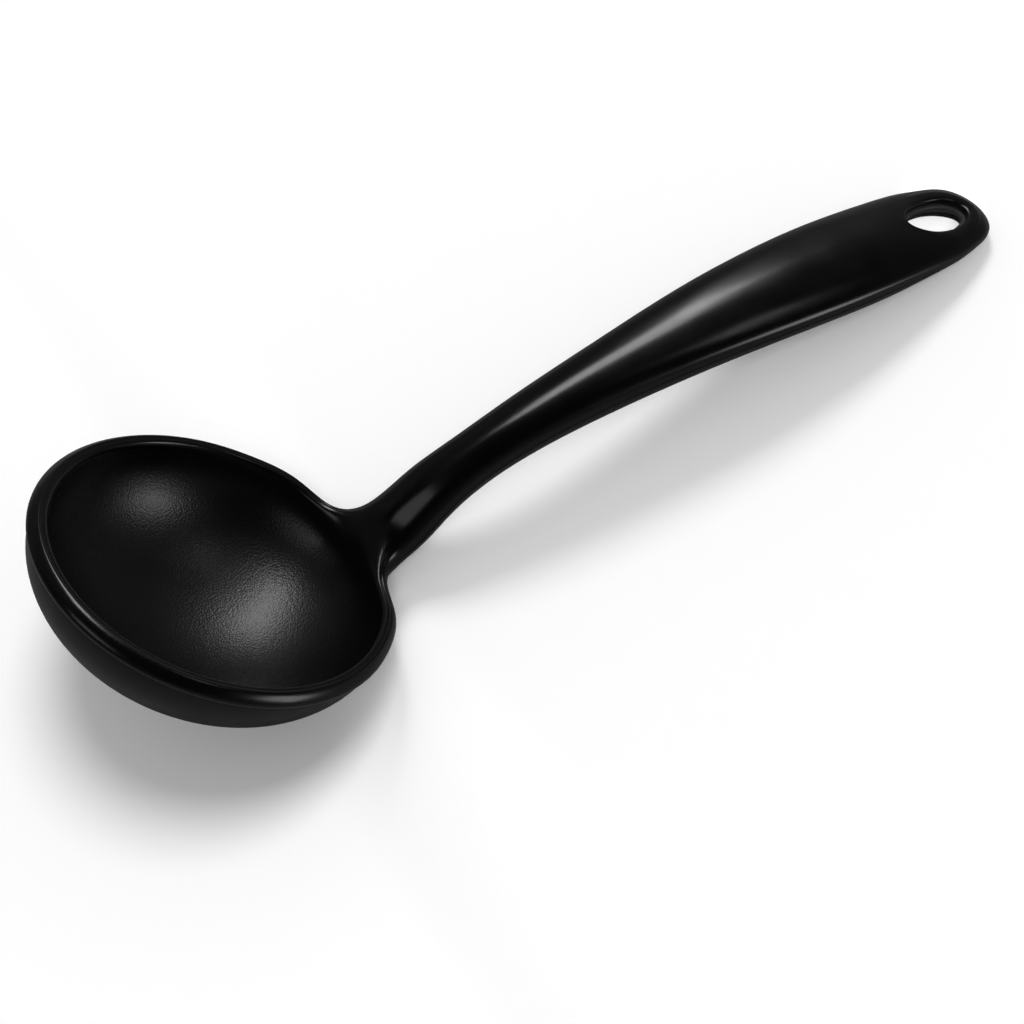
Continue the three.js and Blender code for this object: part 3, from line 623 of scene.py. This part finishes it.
def round_dish(made, layer, centre_level):
    """Brings the dish of the shown sheet onto its true ellipsoid, fading out towards rim and neck."""
    centre = from_bowl(0, 0, centre_level)
    shown = made.data.attributes[SHOWN].data
    for vertex in made.data.vertices:
        offset = vertex.co / MM - centre
        u = (offset.x * COS_TILT - offset.z * SIN_TILT) / layer.half_length
        v = offset.y / layer.half_span
        w = (offset.x * SIN_TILT + offset.z * COS_TILT) / layer.depth
        reach = math.sqrt(u * u + v * v + w * w)
        fade = 1 - ease(math.hypot(u, v), *ROUND_DISH_FADE)
        if w < 0 and shown[vertex.index].value > 0.5 and vertex.co.z > 0:
            vertex.co = (centre + offset * mix(1, 1 / reach, fade)) * MM


def skin(name, upper, lower, shown, material, tree):
    sheets = [Sheet(upper), Sheet(lower)]
    points, cells, seams = closed_cage(*sheets)
    made = new_object(name, fit_cage(points, cells, seams), cells)
    marks = made.data.attributes.new(SHOWN, "FLOAT", "POINT")
    values = [float(sheet.layer is shown) for sheet in sheets for _ in sheet.points]
    marks.data.foreach_set("value", values)
    crease = made.data.attributes.new(SEAM, "FLOAT", "EDGE")
    for edge in made.data.edges:
        crease.data[edge.index].value = float(frozenset(edge.vertices) in seams)
    grow(made, tree, {"Level": SKIN_LEVEL, "Sharp Angle": SHARP_ANGLE, "Material": material})
    return made


def upper_skin(material, tree):
    shown = UpperLayer(
        edge_level=INNER_LEVEL,
        bowl_inset=0.0,
        grip_inset=0.0,
        rim_lines=[
            (RIM_LAND - LAND_CROWN, 0.0),
            (LAND_CROWN, 0.0),
            (0.0, -LAND_CROWN),
            (0.0, -BEAD_HEIGHT),
        ],
        columns=CROWN_COLUMNS,
        end_rings=CROWN_END_RINGS,
        hole_rings=lip_rings(0.0, LIP_ROUND),
    )
    hidden = UpperLayer(
        edge_level=-BEAD_HEIGHT - EDGE_DEPTH,
        bowl_inset=BOWL_SKIN,
        grip_inset=GRIP_SKIN,
        rim_lines=[(RIM_LAND - BOWL_SKIN, -BEAD_HEIGHT)],
        columns=HIDDEN_COLUMNS,
        end_rings=HIDDEN_END_RINGS,
        hole_rings=hidden_rings(0.0),
    )
    made = skin("ladle_upper_skin", shown, hidden, shown, material, tree)
    round_dish(made, shown, INNER_LEVEL)
    return made


def lower_skin(material, tree):
    hidden = LowerLayer(
        bowl_inset=BOWL_SKIN,
        grip_inset=GRIP_SKIN,
        rim_lines=[1],
        columns=HIDDEN_COLUMNS,
        end_rings=HIDDEN_END_RINGS,
        hole_rings=hidden_rings(UNDER_FLARE),
    )
    shown = LowerLayer(
        bowl_inset=0.0,
        grip_inset=0.0,
        rim_lines=WALL_RINGS[1:],
        columns=BELLY_COLUMNS,
        end_rings=BELLY_END_RINGS,
        hole_rings=lip_rings(UNDER_FLARE, UNDER_ROUND),
    )
    made = skin("ladle_lower_skin", hidden, shown, shown, material, tree)
    round_dish(made, shown, OUTER_LEVEL)
    return made


# Oval bush in the hang hole
def eyelet_point(side, growth, from_top, from_low):
    angle = 2 * math.pi * side / EYELET_SIDES
    lip = oval_distance(angle, LIP_LAND)
    lip_x = HOLE_X + lip * math.cos(angle)
    share = lip / (outline_distance(angle) - GRIP_SKIN)
    top = PARTING_RISE + (crown_height(lip_x) - GRIP_SKIN) * crown_share(share, lip_x) - FIT_GAP
    belly = (belly_depth(lip_x) - GRIP_SKIN) * belly_share(share)
    low = PARTING_RISE - PARTING_GAP - belly + FIT_GAP
    radius = oval_distance(angle, growth)
    n = low + from_low if from_top is None else top - from_top
    return from_handle(HOLE_X + radius * math.cos(angle), radius * math.sin(angle), n)


def hang_eyelet(material):
    section = [
        (EYELET_FLANGE, None, 0.0),
        (EYELET_FLANGE, 0.0, None),
        (EYELET_CHAMFER - EYELET_LEDGE, 0.0, None),
        (-EYELET_LEDGE, EYELET_CHAMFER, None),
        (-EYELET_LEDGE, EYELET_CHAMFER + EYELET_LAND, None),
        (UNDER_FLARE, None, 0.0),
    ]
    corners = len(section)
    points = [eyelet_point(side, *corner) for side in range(EYELET_SIDES) for corner in section]
    cells = []
    for side in range(EYELET_SIDES):
        following = (side + 1) % EYELET_SIDES
        for k in range(corners):
            after = (k + 1) % corners
            here = side * corners
            there = following * corners
            cells.append([here + k, there + k, there + after, here + after])
    made = new_object("ladle_hang_eyelet", points, cells)
    made.data.materials.append(material)
    made.data.shade_smooth()
    made.data.set_sharp_from_angle(angle=EYELET_SHARP_ANGLE)
    return made


# Effects for the finishes
PEBBLE_SMOOTHNESS = 0.6
CLOUD_SCALE = 0.35
CLOUD_DETAIL = 3.0
POLISH_DETAIL = 4.0
POLISH_RANGE = (0.3, 0.7)
LINING_FADE = (-4.0, -0.6)


def new_effect(name, inputs, outputs):
    group = bpy.data.node_groups.new(name, "ShaderNodeTree")
    for socket, default in inputs.items():
        made = group.interface.new_socket(socket, in_out="INPUT", socket_type="NodeSocketFloat")
        made.default_value = default
    for socket in outputs:
        group.interface.new_socket(socket, in_out="OUTPUT", socket_type="NodeSocketFloat")
    given = group.nodes.new("NodeGroupInput")
    out = group.nodes.new("NodeGroupOutput")
    return group, given, out


def pebble_effect():
    """Fine moulded grain: rounded pebbles over a softer unevenness, as a height from 0 to 1."""
    group, given, out = new_effect("pebble_grain", {"Scale": 1.0, "Unevenness": 0.3}, ["Height"])
    new = group.nodes.new
    link = group.links.new
    place = new("ShaderNodeTexCoord")
    pebbles = new("ShaderNodeTexVoronoi")
    pebbles.feature = "SMOOTH_F1"
    pebbles.inputs["Smoothness"].default_value = PEBBLE_SMOOTHNESS
    cloud = new("ShaderNodeTexNoise")
    cloud.inputs["Detail"].default_value = CLOUD_DETAIL
    coarse = new("ShaderNodeMath")
    coarse.operation = "MULTIPLY"
    coarse.inputs[1].default_value = CLOUD_SCALE
    blend = new("ShaderNodeMix")
    link(place.outputs["Object"], pebbles.inputs["Vector"])
    link(place.outputs["Object"], cloud.inputs["Vector"])
    link(given.outputs["Scale"], pebbles.inputs["Scale"])
    link(given.outputs["Scale"], coarse.inputs[0])
    link(coarse.outputs[0], cloud.inputs["Scale"])
    link(given.outputs["Unevenness"], blend.inputs["Factor"])
    link(pebbles.outputs["Distance"], blend.inputs["A"])
    link(cloud.outputs["Fac"], blend.inputs["B"])
    link(blend.outputs["Result"], out.inputs["Height"])
    return group


def handling_effect():
    """Slow patches where hands and washing have polished or dulled the surface, as a roughness."""
    inputs = {"Scale": 1.0, "Least": 0.4, "Most": 0.6}
    group, given, out = new_effect("handling_polish", inputs, ["Roughness"])
    new = group.nodes.new
    link = group.links.new
    place = new("ShaderNodeTexCoord")
    cloud = new("ShaderNodeTexNoise")
    cloud.inputs["Detail"].default_value = POLISH_DETAIL
    spread = new("ShaderNodeMapRange")
    spread.inputs["From Min"].default_value = POLISH_RANGE[0]
    spread.inputs["From Max"].default_value = POLISH_RANGE[1]
    link(place.outputs["Object"], cloud.inputs["Vector"])
    link(given.outputs["Scale"], cloud.inputs["Scale"])
    link(cloud.outputs["Fac"], spread.inputs["Value"])
    link(given.outputs["Least"], spread.inputs["To Min"])
    link(given.outputs["Most"], spread.inputs["To Max"])
    link(spread.outputs["Result"], out.inputs["Roughness"])
    return group


def lining_effect():
    """1 on the lining of the bowl, 0 on its rim and on the handle."""
    group, _, out = new_effect("bowl_lining", {}, ["Mask"])
    new = group.nodes.new
    link = group.links.new
    place = new("ShaderNodeTexCoord")
    centred = new("ShaderNodeMapping")
    centred.vector_type = "TEXTURE"
    centred.inputs["Location"].default_value = from_bowl(0, 0, 0) * MM
    centred.inputs["Rotation"].default_value = (0.0, BOWL_TILT, 0.0)
    level = new("ShaderNodeSeparateXYZ")
    fade = new("ShaderNodeMapRange")
    fade.interpolation_type = "SMOOTHSTEP"
    fade.inputs["From Min"].default_value = LINING_FADE[0] * MM
    fade.inputs["From Max"].default_value = LINING_FADE[1] * MM
    fade.inputs["To Min"].default_value = 1.0
    fade.inputs["To Max"].default_value = 0.0
    link(place.outputs["Object"], centred.inputs["Vector"])
    link(centred.outputs["Vector"], level.inputs[0])
    link(level.outputs["Z"], fade.inputs["Value"])
    link(fade.outputs["Result"], out.inputs["Mask"])
    return group


PEBBLES = pebble_effect()
HANDLING = handling_effect()
LINING = lining_effect()


def new_finish(name, colour, metallic=0.0, ior=1.5):
    material = bpy.data.materials.new(name)
    material.use_nodes = True
    shader = material.node_tree.nodes["Principled BSDF"]
    shader.inputs["Base Color"].default_value = (*colour, 1.0)
    shader.inputs["Metallic"].default_value = metallic
    shader.inputs["IOR"].default_value = ior
    return material, shader


def add_effect(material, effect, values):
    node = material.node_tree.nodes.new("ShaderNodeGroup")
    node.node_tree = effect
    for name, value in values.items():
        node.inputs[name].default_value = value
    return node


def add_grain(material, shader, scale, unevenness, strength, depth):
    link = material.node_tree.links.new
    grain = add_effect(material, PEBBLES, {"Scale": scale, "Unevenness": unevenness})
    bump = material.node_tree.nodes.new("ShaderNodeBump")
    bump.inputs["Strength"].default_value = strength
    bump.inputs["Distance"].default_value = depth
    link(grain.outputs["Height"], bump.inputs["Height"])
    link(bump.outputs["Normal"], shader.inputs["Normal"])
    return bump


def add_handling(material, shader, scale, least, most):
    polish = add_effect(material, HANDLING, {"Scale": scale, "Least": least, "Most": most})
    material.node_tree.links.new(polish.outputs["Roughness"], shader.inputs["Roughness"])
    return polish


# Finishes. Scales are in cells per metre, depths in metres.
TOP_COLOUR = (0.001, 0.001, 0.001)
UNDER_COLOUR = (0.0015, 0.0015, 0.0015)
CORE_COLOUR = (0.07, 0.07, 0.075)
EYELET_COLOUR = (0.012, 0.012, 0.013)
STEEL_COLOUR = (0.62, 0.63, 0.64)
TOP_POLISH = {"scale": 90.0, "least": 0.2, "most": 0.25}
UNDER_POLISH = {"scale": 90.0, "least": 0.34, "most": 0.4}
NYLON_POLISH = {"scale": 150.0, "least": 0.5, "most": 0.65}
STEEL_POLISH = {"scale": 220.0, "least": 0.28, "most": 0.42}
LINING_GRAIN = {"scale": 1900.0, "unevenness": 0.3, "strength": 0.7, "depth": 0.00009}
UNDER_GRAIN = {"scale": 2600.0, "unevenness": 0.4, "strength": 0.25, "depth": 0.00004}
NYLON_GRAIN = {"scale": 1800.0, "unevenness": 0.6, "strength": 0.2, "depth": 0.00004}
STEEL_GRAIN = {"scale": 3000.0, "unevenness": 0.9, "strength": 0.1, "depth": 0.00002}
SILICONE_IOR = 1.41
LINING_DULLNESS = 0.11
LINING_SHEEN = 0.2
LINING_SHEEN_ROUGHNESS = 0.38


def plain_silicone(name):
    material, shader = new_finish(name, UNDER_COLOUR, ior=SILICONE_IOR)
    add_handling(material, shader, **UNDER_POLISH)
    add_grain(material, shader, **UNDER_GRAIN)
    return material


def lined_silicone(name):
    """Satin silicone, rougher and pebbled on the lining of the bowl."""
    material, shader = new_finish(name, TOP_COLOUR, ior=SILICONE_IOR)
    polish = add_handling(material, shader, **TOP_POLISH)
    bump = add_grain(material, shader, **LINING_GRAIN)
    new = material.node_tree.nodes.new
    link = material.node_tree.links.new
    lining = add_effect(material, LINING, {})
    dull = new("ShaderNodeMath")
    dull.operation = "MULTIPLY_ADD"
    dull.inputs[1].default_value = LINING_DULLNESS
    height = new("ShaderNodeMath")
    height.operation = "MULTIPLY"
    sheen = new("ShaderNodeMath")
    sheen.operation = "MULTIPLY"
    sheen.inputs[1].default_value = LINING_SHEEN
    shader.inputs["Coat Roughness"].default_value = LINING_SHEEN_ROUGHNESS
    link(lining.outputs["Mask"], sheen.inputs[0])
    link(sheen.outputs[0], shader.inputs["Coat Weight"])
    link(bump.outputs["Normal"], shader.inputs["Coat Normal"])
    link(lining.outputs["Mask"], dull.inputs[0])
    link(polish.outputs["Roughness"], dull.inputs[2])
    link(dull.outputs[0], shader.inputs["Roughness"])
    link(bump.inputs["Height"].links[0].from_socket, height.inputs[0])
    link(lining.outputs["Mask"], height.inputs[1])
    link(height.outputs[0], bump.inputs["Height"])
    return material


def nylon(name, colour):
    material, shader = new_finish(name, colour)
    add_handling(material, shader, **NYLON_POLISH)
    add_grain(material, shader, **NYLON_GRAIN)
    return material


def strip_steel(name):
    material, shader = new_finish(name, STEEL_COLOUR, metallic=1.0)
    add_handling(material, shader, **STEEL_POLISH)
    add_grain(material, shader, **STEEL_GRAIN)
    return material


TOP_SILICONE = lined_silicone("black_silicone_top")
UNDER_SILICONE = plain_silicone("black_silicone_under")
CORE_NYLON = nylon("core_nylon", CORE_COLOUR)
EYELET_NYLON = nylon("eyelet_nylon", EYELET_COLOUR)
SPINE_STEEL = strip_steel("rolled_strip_steel")

# Pieces
SKIN_TREE = skin_tree()
made_pieces = [
    (upper_skin(TOP_SILICONE, SKIN_TREE), "upper_skin", "silicone_top"),
    (lower_skin(UNDER_SILICONE, SKIN_TREE), "lower_skin", "silicone_under"),
    (hang_eyelet(EYELET_NYLON), "hang_eyelet", "eyelet_nylon"),
]
for piece, node, slot in made_pieces:
    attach(piece, "root")
    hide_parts(node)
inner_finishes = {
    "bowl_former": CORE_NYLON,
    "handle_core": CORE_NYLON,
    "steel_spine": SPINE_STEEL,
    "spine_rivet_front": SPINE_STEEL,
    "spine_rivet_rear": SPINE_STEEL,
}
for node, material in inner_finishes.items():
    nodes[node].data.materials.clear()
    nodes[node].data.materials.append(material)

# Table
WHITE = (1.0, 1.0, 1.0, 1.0)
FLOOR_HALF = 4000.0
FLOOR_ROUGHNESS = 0.9
FLOOR_COLOUR = (0.95, 0.95, 0.95, 1.0)
# Painted shade: the floor's colour for reflection rays only, darker than its lit white
FLOOR_REFLECTION_PAINTED_SHADE = (0.22, 0.22, 0.22, 1.0)
FLOOR_LIFT = 0.09


def white_table():
    """A white floor; its colour for reflection rays is painted darker, a painted shade on the floor's
    reflection standing in for black flags in a studio.
    """
    corners = [(-1, -1), (1, -1), (1, 1), (-1, 1)]
    points = [Vector((x * FLOOR_HALF, y * FLOOR_HALF, 0)) for x, y in corners]
    floor = new_object("table", points, [[0, 1, 2, 3]])
    material = bpy.data.materials.new("white_table")
    material.use_nodes = True
    tree = material.node_tree
    shader = tree.nodes["Principled BSDF"]
    shader.inputs["Base Color"].default_value = FLOOR_COLOUR
    shader.inputs["Roughness"].default_value = FLOOR_ROUGHNESS
    shader.inputs["Specular IOR Level"].default_value = 0.0
    shader.inputs["Emission Color"].default_value = WHITE
    rays = tree.nodes.new("ShaderNodeLightPath")
    lift = tree.nodes.new("ShaderNodeMath")
    lift.operation = "MULTIPLY"
    lift.inputs[1].default_value = FLOOR_LIFT
    # Painted shade for reflection rays: the silicone mirrors this darker colour in place of the lit floor
    painted_reflection_shade = tree.nodes.new("ShaderNodeBsdfDiffuse")
    painted_reflection_shade.inputs["Color"].default_value = FLOOR_REFLECTION_PAINTED_SHADE
    choose = tree.nodes.new("ShaderNodeMixShader")
    out = tree.nodes["Material Output"]
    tree.links.new(rays.outputs["Is Camera Ray"], lift.inputs[0])
    tree.links.new(lift.outputs[0], shader.inputs["Emission Strength"])
    tree.links.new(rays.outputs["Is Glossy Ray"], choose.inputs["Fac"])
    tree.links.new(shader.outputs["BSDF"], choose.inputs[1])
    tree.links.new(painted_reflection_shade.outputs["BSDF"], choose.inputs[2])
    tree.links.new(choose.outputs["Shader"], out.inputs["Surface"])
    floor.data.materials.append(material)


white_table()

# Room: white to the camera, dim light on surfaces, in reflections black above a grey horizon
ROOM_LIGHT = 0.445
ROOM_REFLECTION = 0.004
HORIZON_REFLECTION = 0.1
HORIZON_FADE = (0.3, 0.6)


def room():
    """The world; it is found by the rays of surfaces alone, which pass the flags of the lamps."""
    world = bpy.data.worlds.new("room")
    bpy.context.scene.world = world
    world.cycles.sampling_method = "NONE"
    world.use_nodes = True
    tree = world.node_tree
    background = tree.nodes["Background"]
    background.inputs["Color"].default_value = WHITE
    rays = tree.nodes.new("ShaderNodeLightPath")
    mirrored = tree.nodes.new("ShaderNodeMapRange")
    mirrored.inputs["To Min"].default_value = ROOM_LIGHT
    place = tree.nodes.new("ShaderNodeTexCoord")
    height = tree.nodes.new("ShaderNodeSeparateXYZ")
    horizon = tree.nodes.new("ShaderNodeMapRange")
    horizon.inputs["From Min"].default_value = HORIZON_FADE[0]
    horizon.inputs["From Max"].default_value = HORIZON_FADE[1]
    horizon.inputs["To Min"].default_value = HORIZON_REFLECTION
    horizon.inputs["To Max"].default_value = ROOM_REFLECTION
    tree.links.new(place.outputs["Generated"], height.inputs[0])
    tree.links.new(height.outputs["Z"], horizon.inputs["Value"])
    tree.links.new(horizon.outputs["Result"], mirrored.inputs["To Max"])
    level = tree.nodes.new("ShaderNodeMapRange")
    level.inputs["To Max"].default_value = 1.0
    tree.links.new(rays.outputs["Is Glossy Ray"], mirrored.inputs["Value"])
    tree.links.new(rays.outputs["Is Camera Ray"], level.inputs["Value"])
    tree.links.new(mirrored.outputs["Result"], level.inputs["To Min"])
    tree.links.new(level.outputs["Result"], background.inputs["Strength"])


room()

# Camera, where the photograph was taken from
VIEW_HEADING = math.radians(34.896)
VIEW_ELEVATION = math.radians(57.06)
CAMERA_PLACE = Vector((-55.69, -178.43, 318.63))
SENSOR_WIDTH = 36.0
LENS = 48.143
CLIP_START = 0.01


def photo_camera():
    data = bpy.data.cameras.new("photo_camera")
    data.sensor_width = SENSOR_WIDTH
    data.lens = LENS
    data.clip_start = CLIP_START
    camera = bpy.data.objects.new("photo_camera", data)
    camera.location = CAMERA_PLACE * MM
    camera.rotation_euler = (math.pi / 2 - VIEW_ELEVATION, 0, -VIEW_HEADING)
    bpy.context.scene.collection.objects.link(camera)
    bpy.context.scene.camera = camera


photo_camera()

# Lamps. Angles are in degrees. Three far lamps light the table and cast its shadows: the diffuser
# on the bowl's side of the flag line, the other two on the handle's. Strips only show in the silicone.
BACK_LIGHT = {"azimuth": -16, "elevation": 46, "angle": 18, "strength": 1.43}
DIFFUSER = {"azimuth": 38, "elevation": 75, "angle": 23, "strength": 1.75}
FRONT_FILL = {"azimuth": 180, "elevation": 57, "angle": 20, "strength": 0.72}
BACK_STRIP = {"low": (13, 29), "high": (-12, 74), "width": 12, "glow": 9.0}
BOWL_STRIP = {"low": (105, 3), "high": (105, 25), "width": 20, "glow": 4.2}
NECK_STRIP = {"low": (-128, 44), "high": (-128, 60), "width": 24, "glow": 1.5}
SHOULDER_STRIP = {"low": (58, 45), "high": (82, 53), "width": 7, "glow": 2.0}
LEFT_PANEL = {"low": (-45, 22), "high": (-45, 75), "width": 45, "glow": 0.08}
STRIP_DISTANCE = 3.0
HOLE_SPOT = {"cone": 3.4, "power": 7.0}
SPOT_BLEND = 0.3
SPOT_RADIUS = 0.002
FLAG_LINE = 6.0
FLAG_DISTANCE = 130.0
FLAG_SIZE = 4000.0
BOWL_SIDE = -1
HANDLE_SIDE = 1


def towards(azimuth, elevation):
    """The direction to a lamp; azimuth runs from behind the ladle to the camera's right."""
    turn = VIEW_HEADING + math.radians(azimuth)
    lift = math.radians(elevation)
    return Vector((math.sin(turn) * math.cos(lift), math.cos(turn) * math.cos(lift), math.sin(lift)))


def hang_lamp(name, data, direction, along=Vector((1, 0, 0))):
    """A lamp that shines back along a direction, its length turned to run along another one."""
    length = (along - direction * along.dot(direction)).normalized()
    light = bpy.data.objects.new(name, data)
    light.rotation_euler = Matrix((length, direction.cross(length), direction)).transposed().to_euler()
    bpy.context.scene.collection.objects.link(light)
    return light


def far_lamp(name, azimuth, elevation, angle, strength):
    data = bpy.data.lights.new(name, "SUN")
    data.energy = strength
    data.angle = math.radians(angle)
    light = hang_lamp(name, data, towards(azimuth, elevation))
    light.visible_glossy = False
    return light


def strip_lamp(name, low, high, width, glow):
    """A strip between two directions, so many degrees wide, as bright as a white of this glow."""
    bottom = towards(*low)
    top = towards(*high)
    direction = (bottom + top).normalized()
    data = bpy.data.lights.new(name, "AREA")
    data.shape = "RECTANGLE"
    data.size = 2 * STRIP_DISTANCE * math.tan(bottom.angle(top) / 2)
    data.size_y = 2 * STRIP_DISTANCE * math.tan(math.radians(width / 2))
    data.energy = glow * math.pi * data.size * data.size_y
    light = hang_lamp(name, data, direction, along=top - bottom)
    light.visible_diffuse = False
    middle = Vector(((cad_box[0].x + cad_box[1].x) / 2, 0, 0))
    light.location = middle + direction * STRIP_DISTANCE


def flag(name, lamp, side):
    """A flag that keeps one lamp off the table on one side of a line across it."""
    edge = towards(lamp["azimuth"], lamp["elevation"]) * FLAG_DISTANCE + Vector((FLAG_LINE, 0, 0))
    corners = [(0, -1), (side, -1), (side, 1), (0, 1)]
    points = [edge + Vector((x * FLAG_SIZE, y * FLAG_SIZE, 0)) for x, y in corners]
    made = new_object(name, points, [[0, 1, 2, 3]])
    made.visible_camera = False
    made.visible_glossy = False
    made.visible_diffuse = False
    return made


def hole_spot(name, cone, power):
    """A narrow spot beside the camera that lights the table seen through the hang hole."""
    target = from_handle(HOLE_X, 0, CROWN_HEIGHT)
    data = bpy.data.lights.new(name, "SPOT")
    data.energy = power
    data.spot_size = math.radians(cone)
    data.spot_blend = SPOT_BLEND
    data.shadow_soft_size = SPOT_RADIUS
    light = hang_lamp(name, data, (CAMERA_PLACE - target).normalized())
    light.location = CAMERA_PLACE * MM
    light.visible_glossy = False


back_light = far_lamp("back_light", **BACK_LIGHT)
diffuser = far_lamp("diffuser", **DIFFUSER)
front_fill = far_lamp("front_fill", **FRONT_FILL)
strip_lamp("back_strip", **BACK_STRIP)
strip_lamp("bowl_strip", **BOWL_STRIP)
strip_lamp("neck_strip", **NECK_STRIP)
strip_lamp("shoulder_strip", **SHOULDER_STRIP)
strip_lamp("left_panel", **LEFT_PANEL)
hole_spot("hole_spot", **HOLE_SPOT)
own_flags = {
    back_light: [flag("back_flag", BACK_LIGHT, BOWL_SIDE)],
    diffuser: [flag("diffuser_flag", DIFFUSER, HANDLE_SIDE)],
    front_fill: [flag("front_flag", FRONT_FILL, BOWL_SIDE)],
}
skins = [piece for piece, _, _ in made_pieces]
for light in [made for made in bpy.context.scene.objects if made.type == "LIGHT"]:
    shades = bpy.data.collections.new("shades_" + light.name)
    for blocker in skins + own_flags.get(light, []):
        shades.objects.link(blocker)
    light.light_linking.blocker_collection = shades
bpy.context.scene.view_settings.view_transform = "Standard"
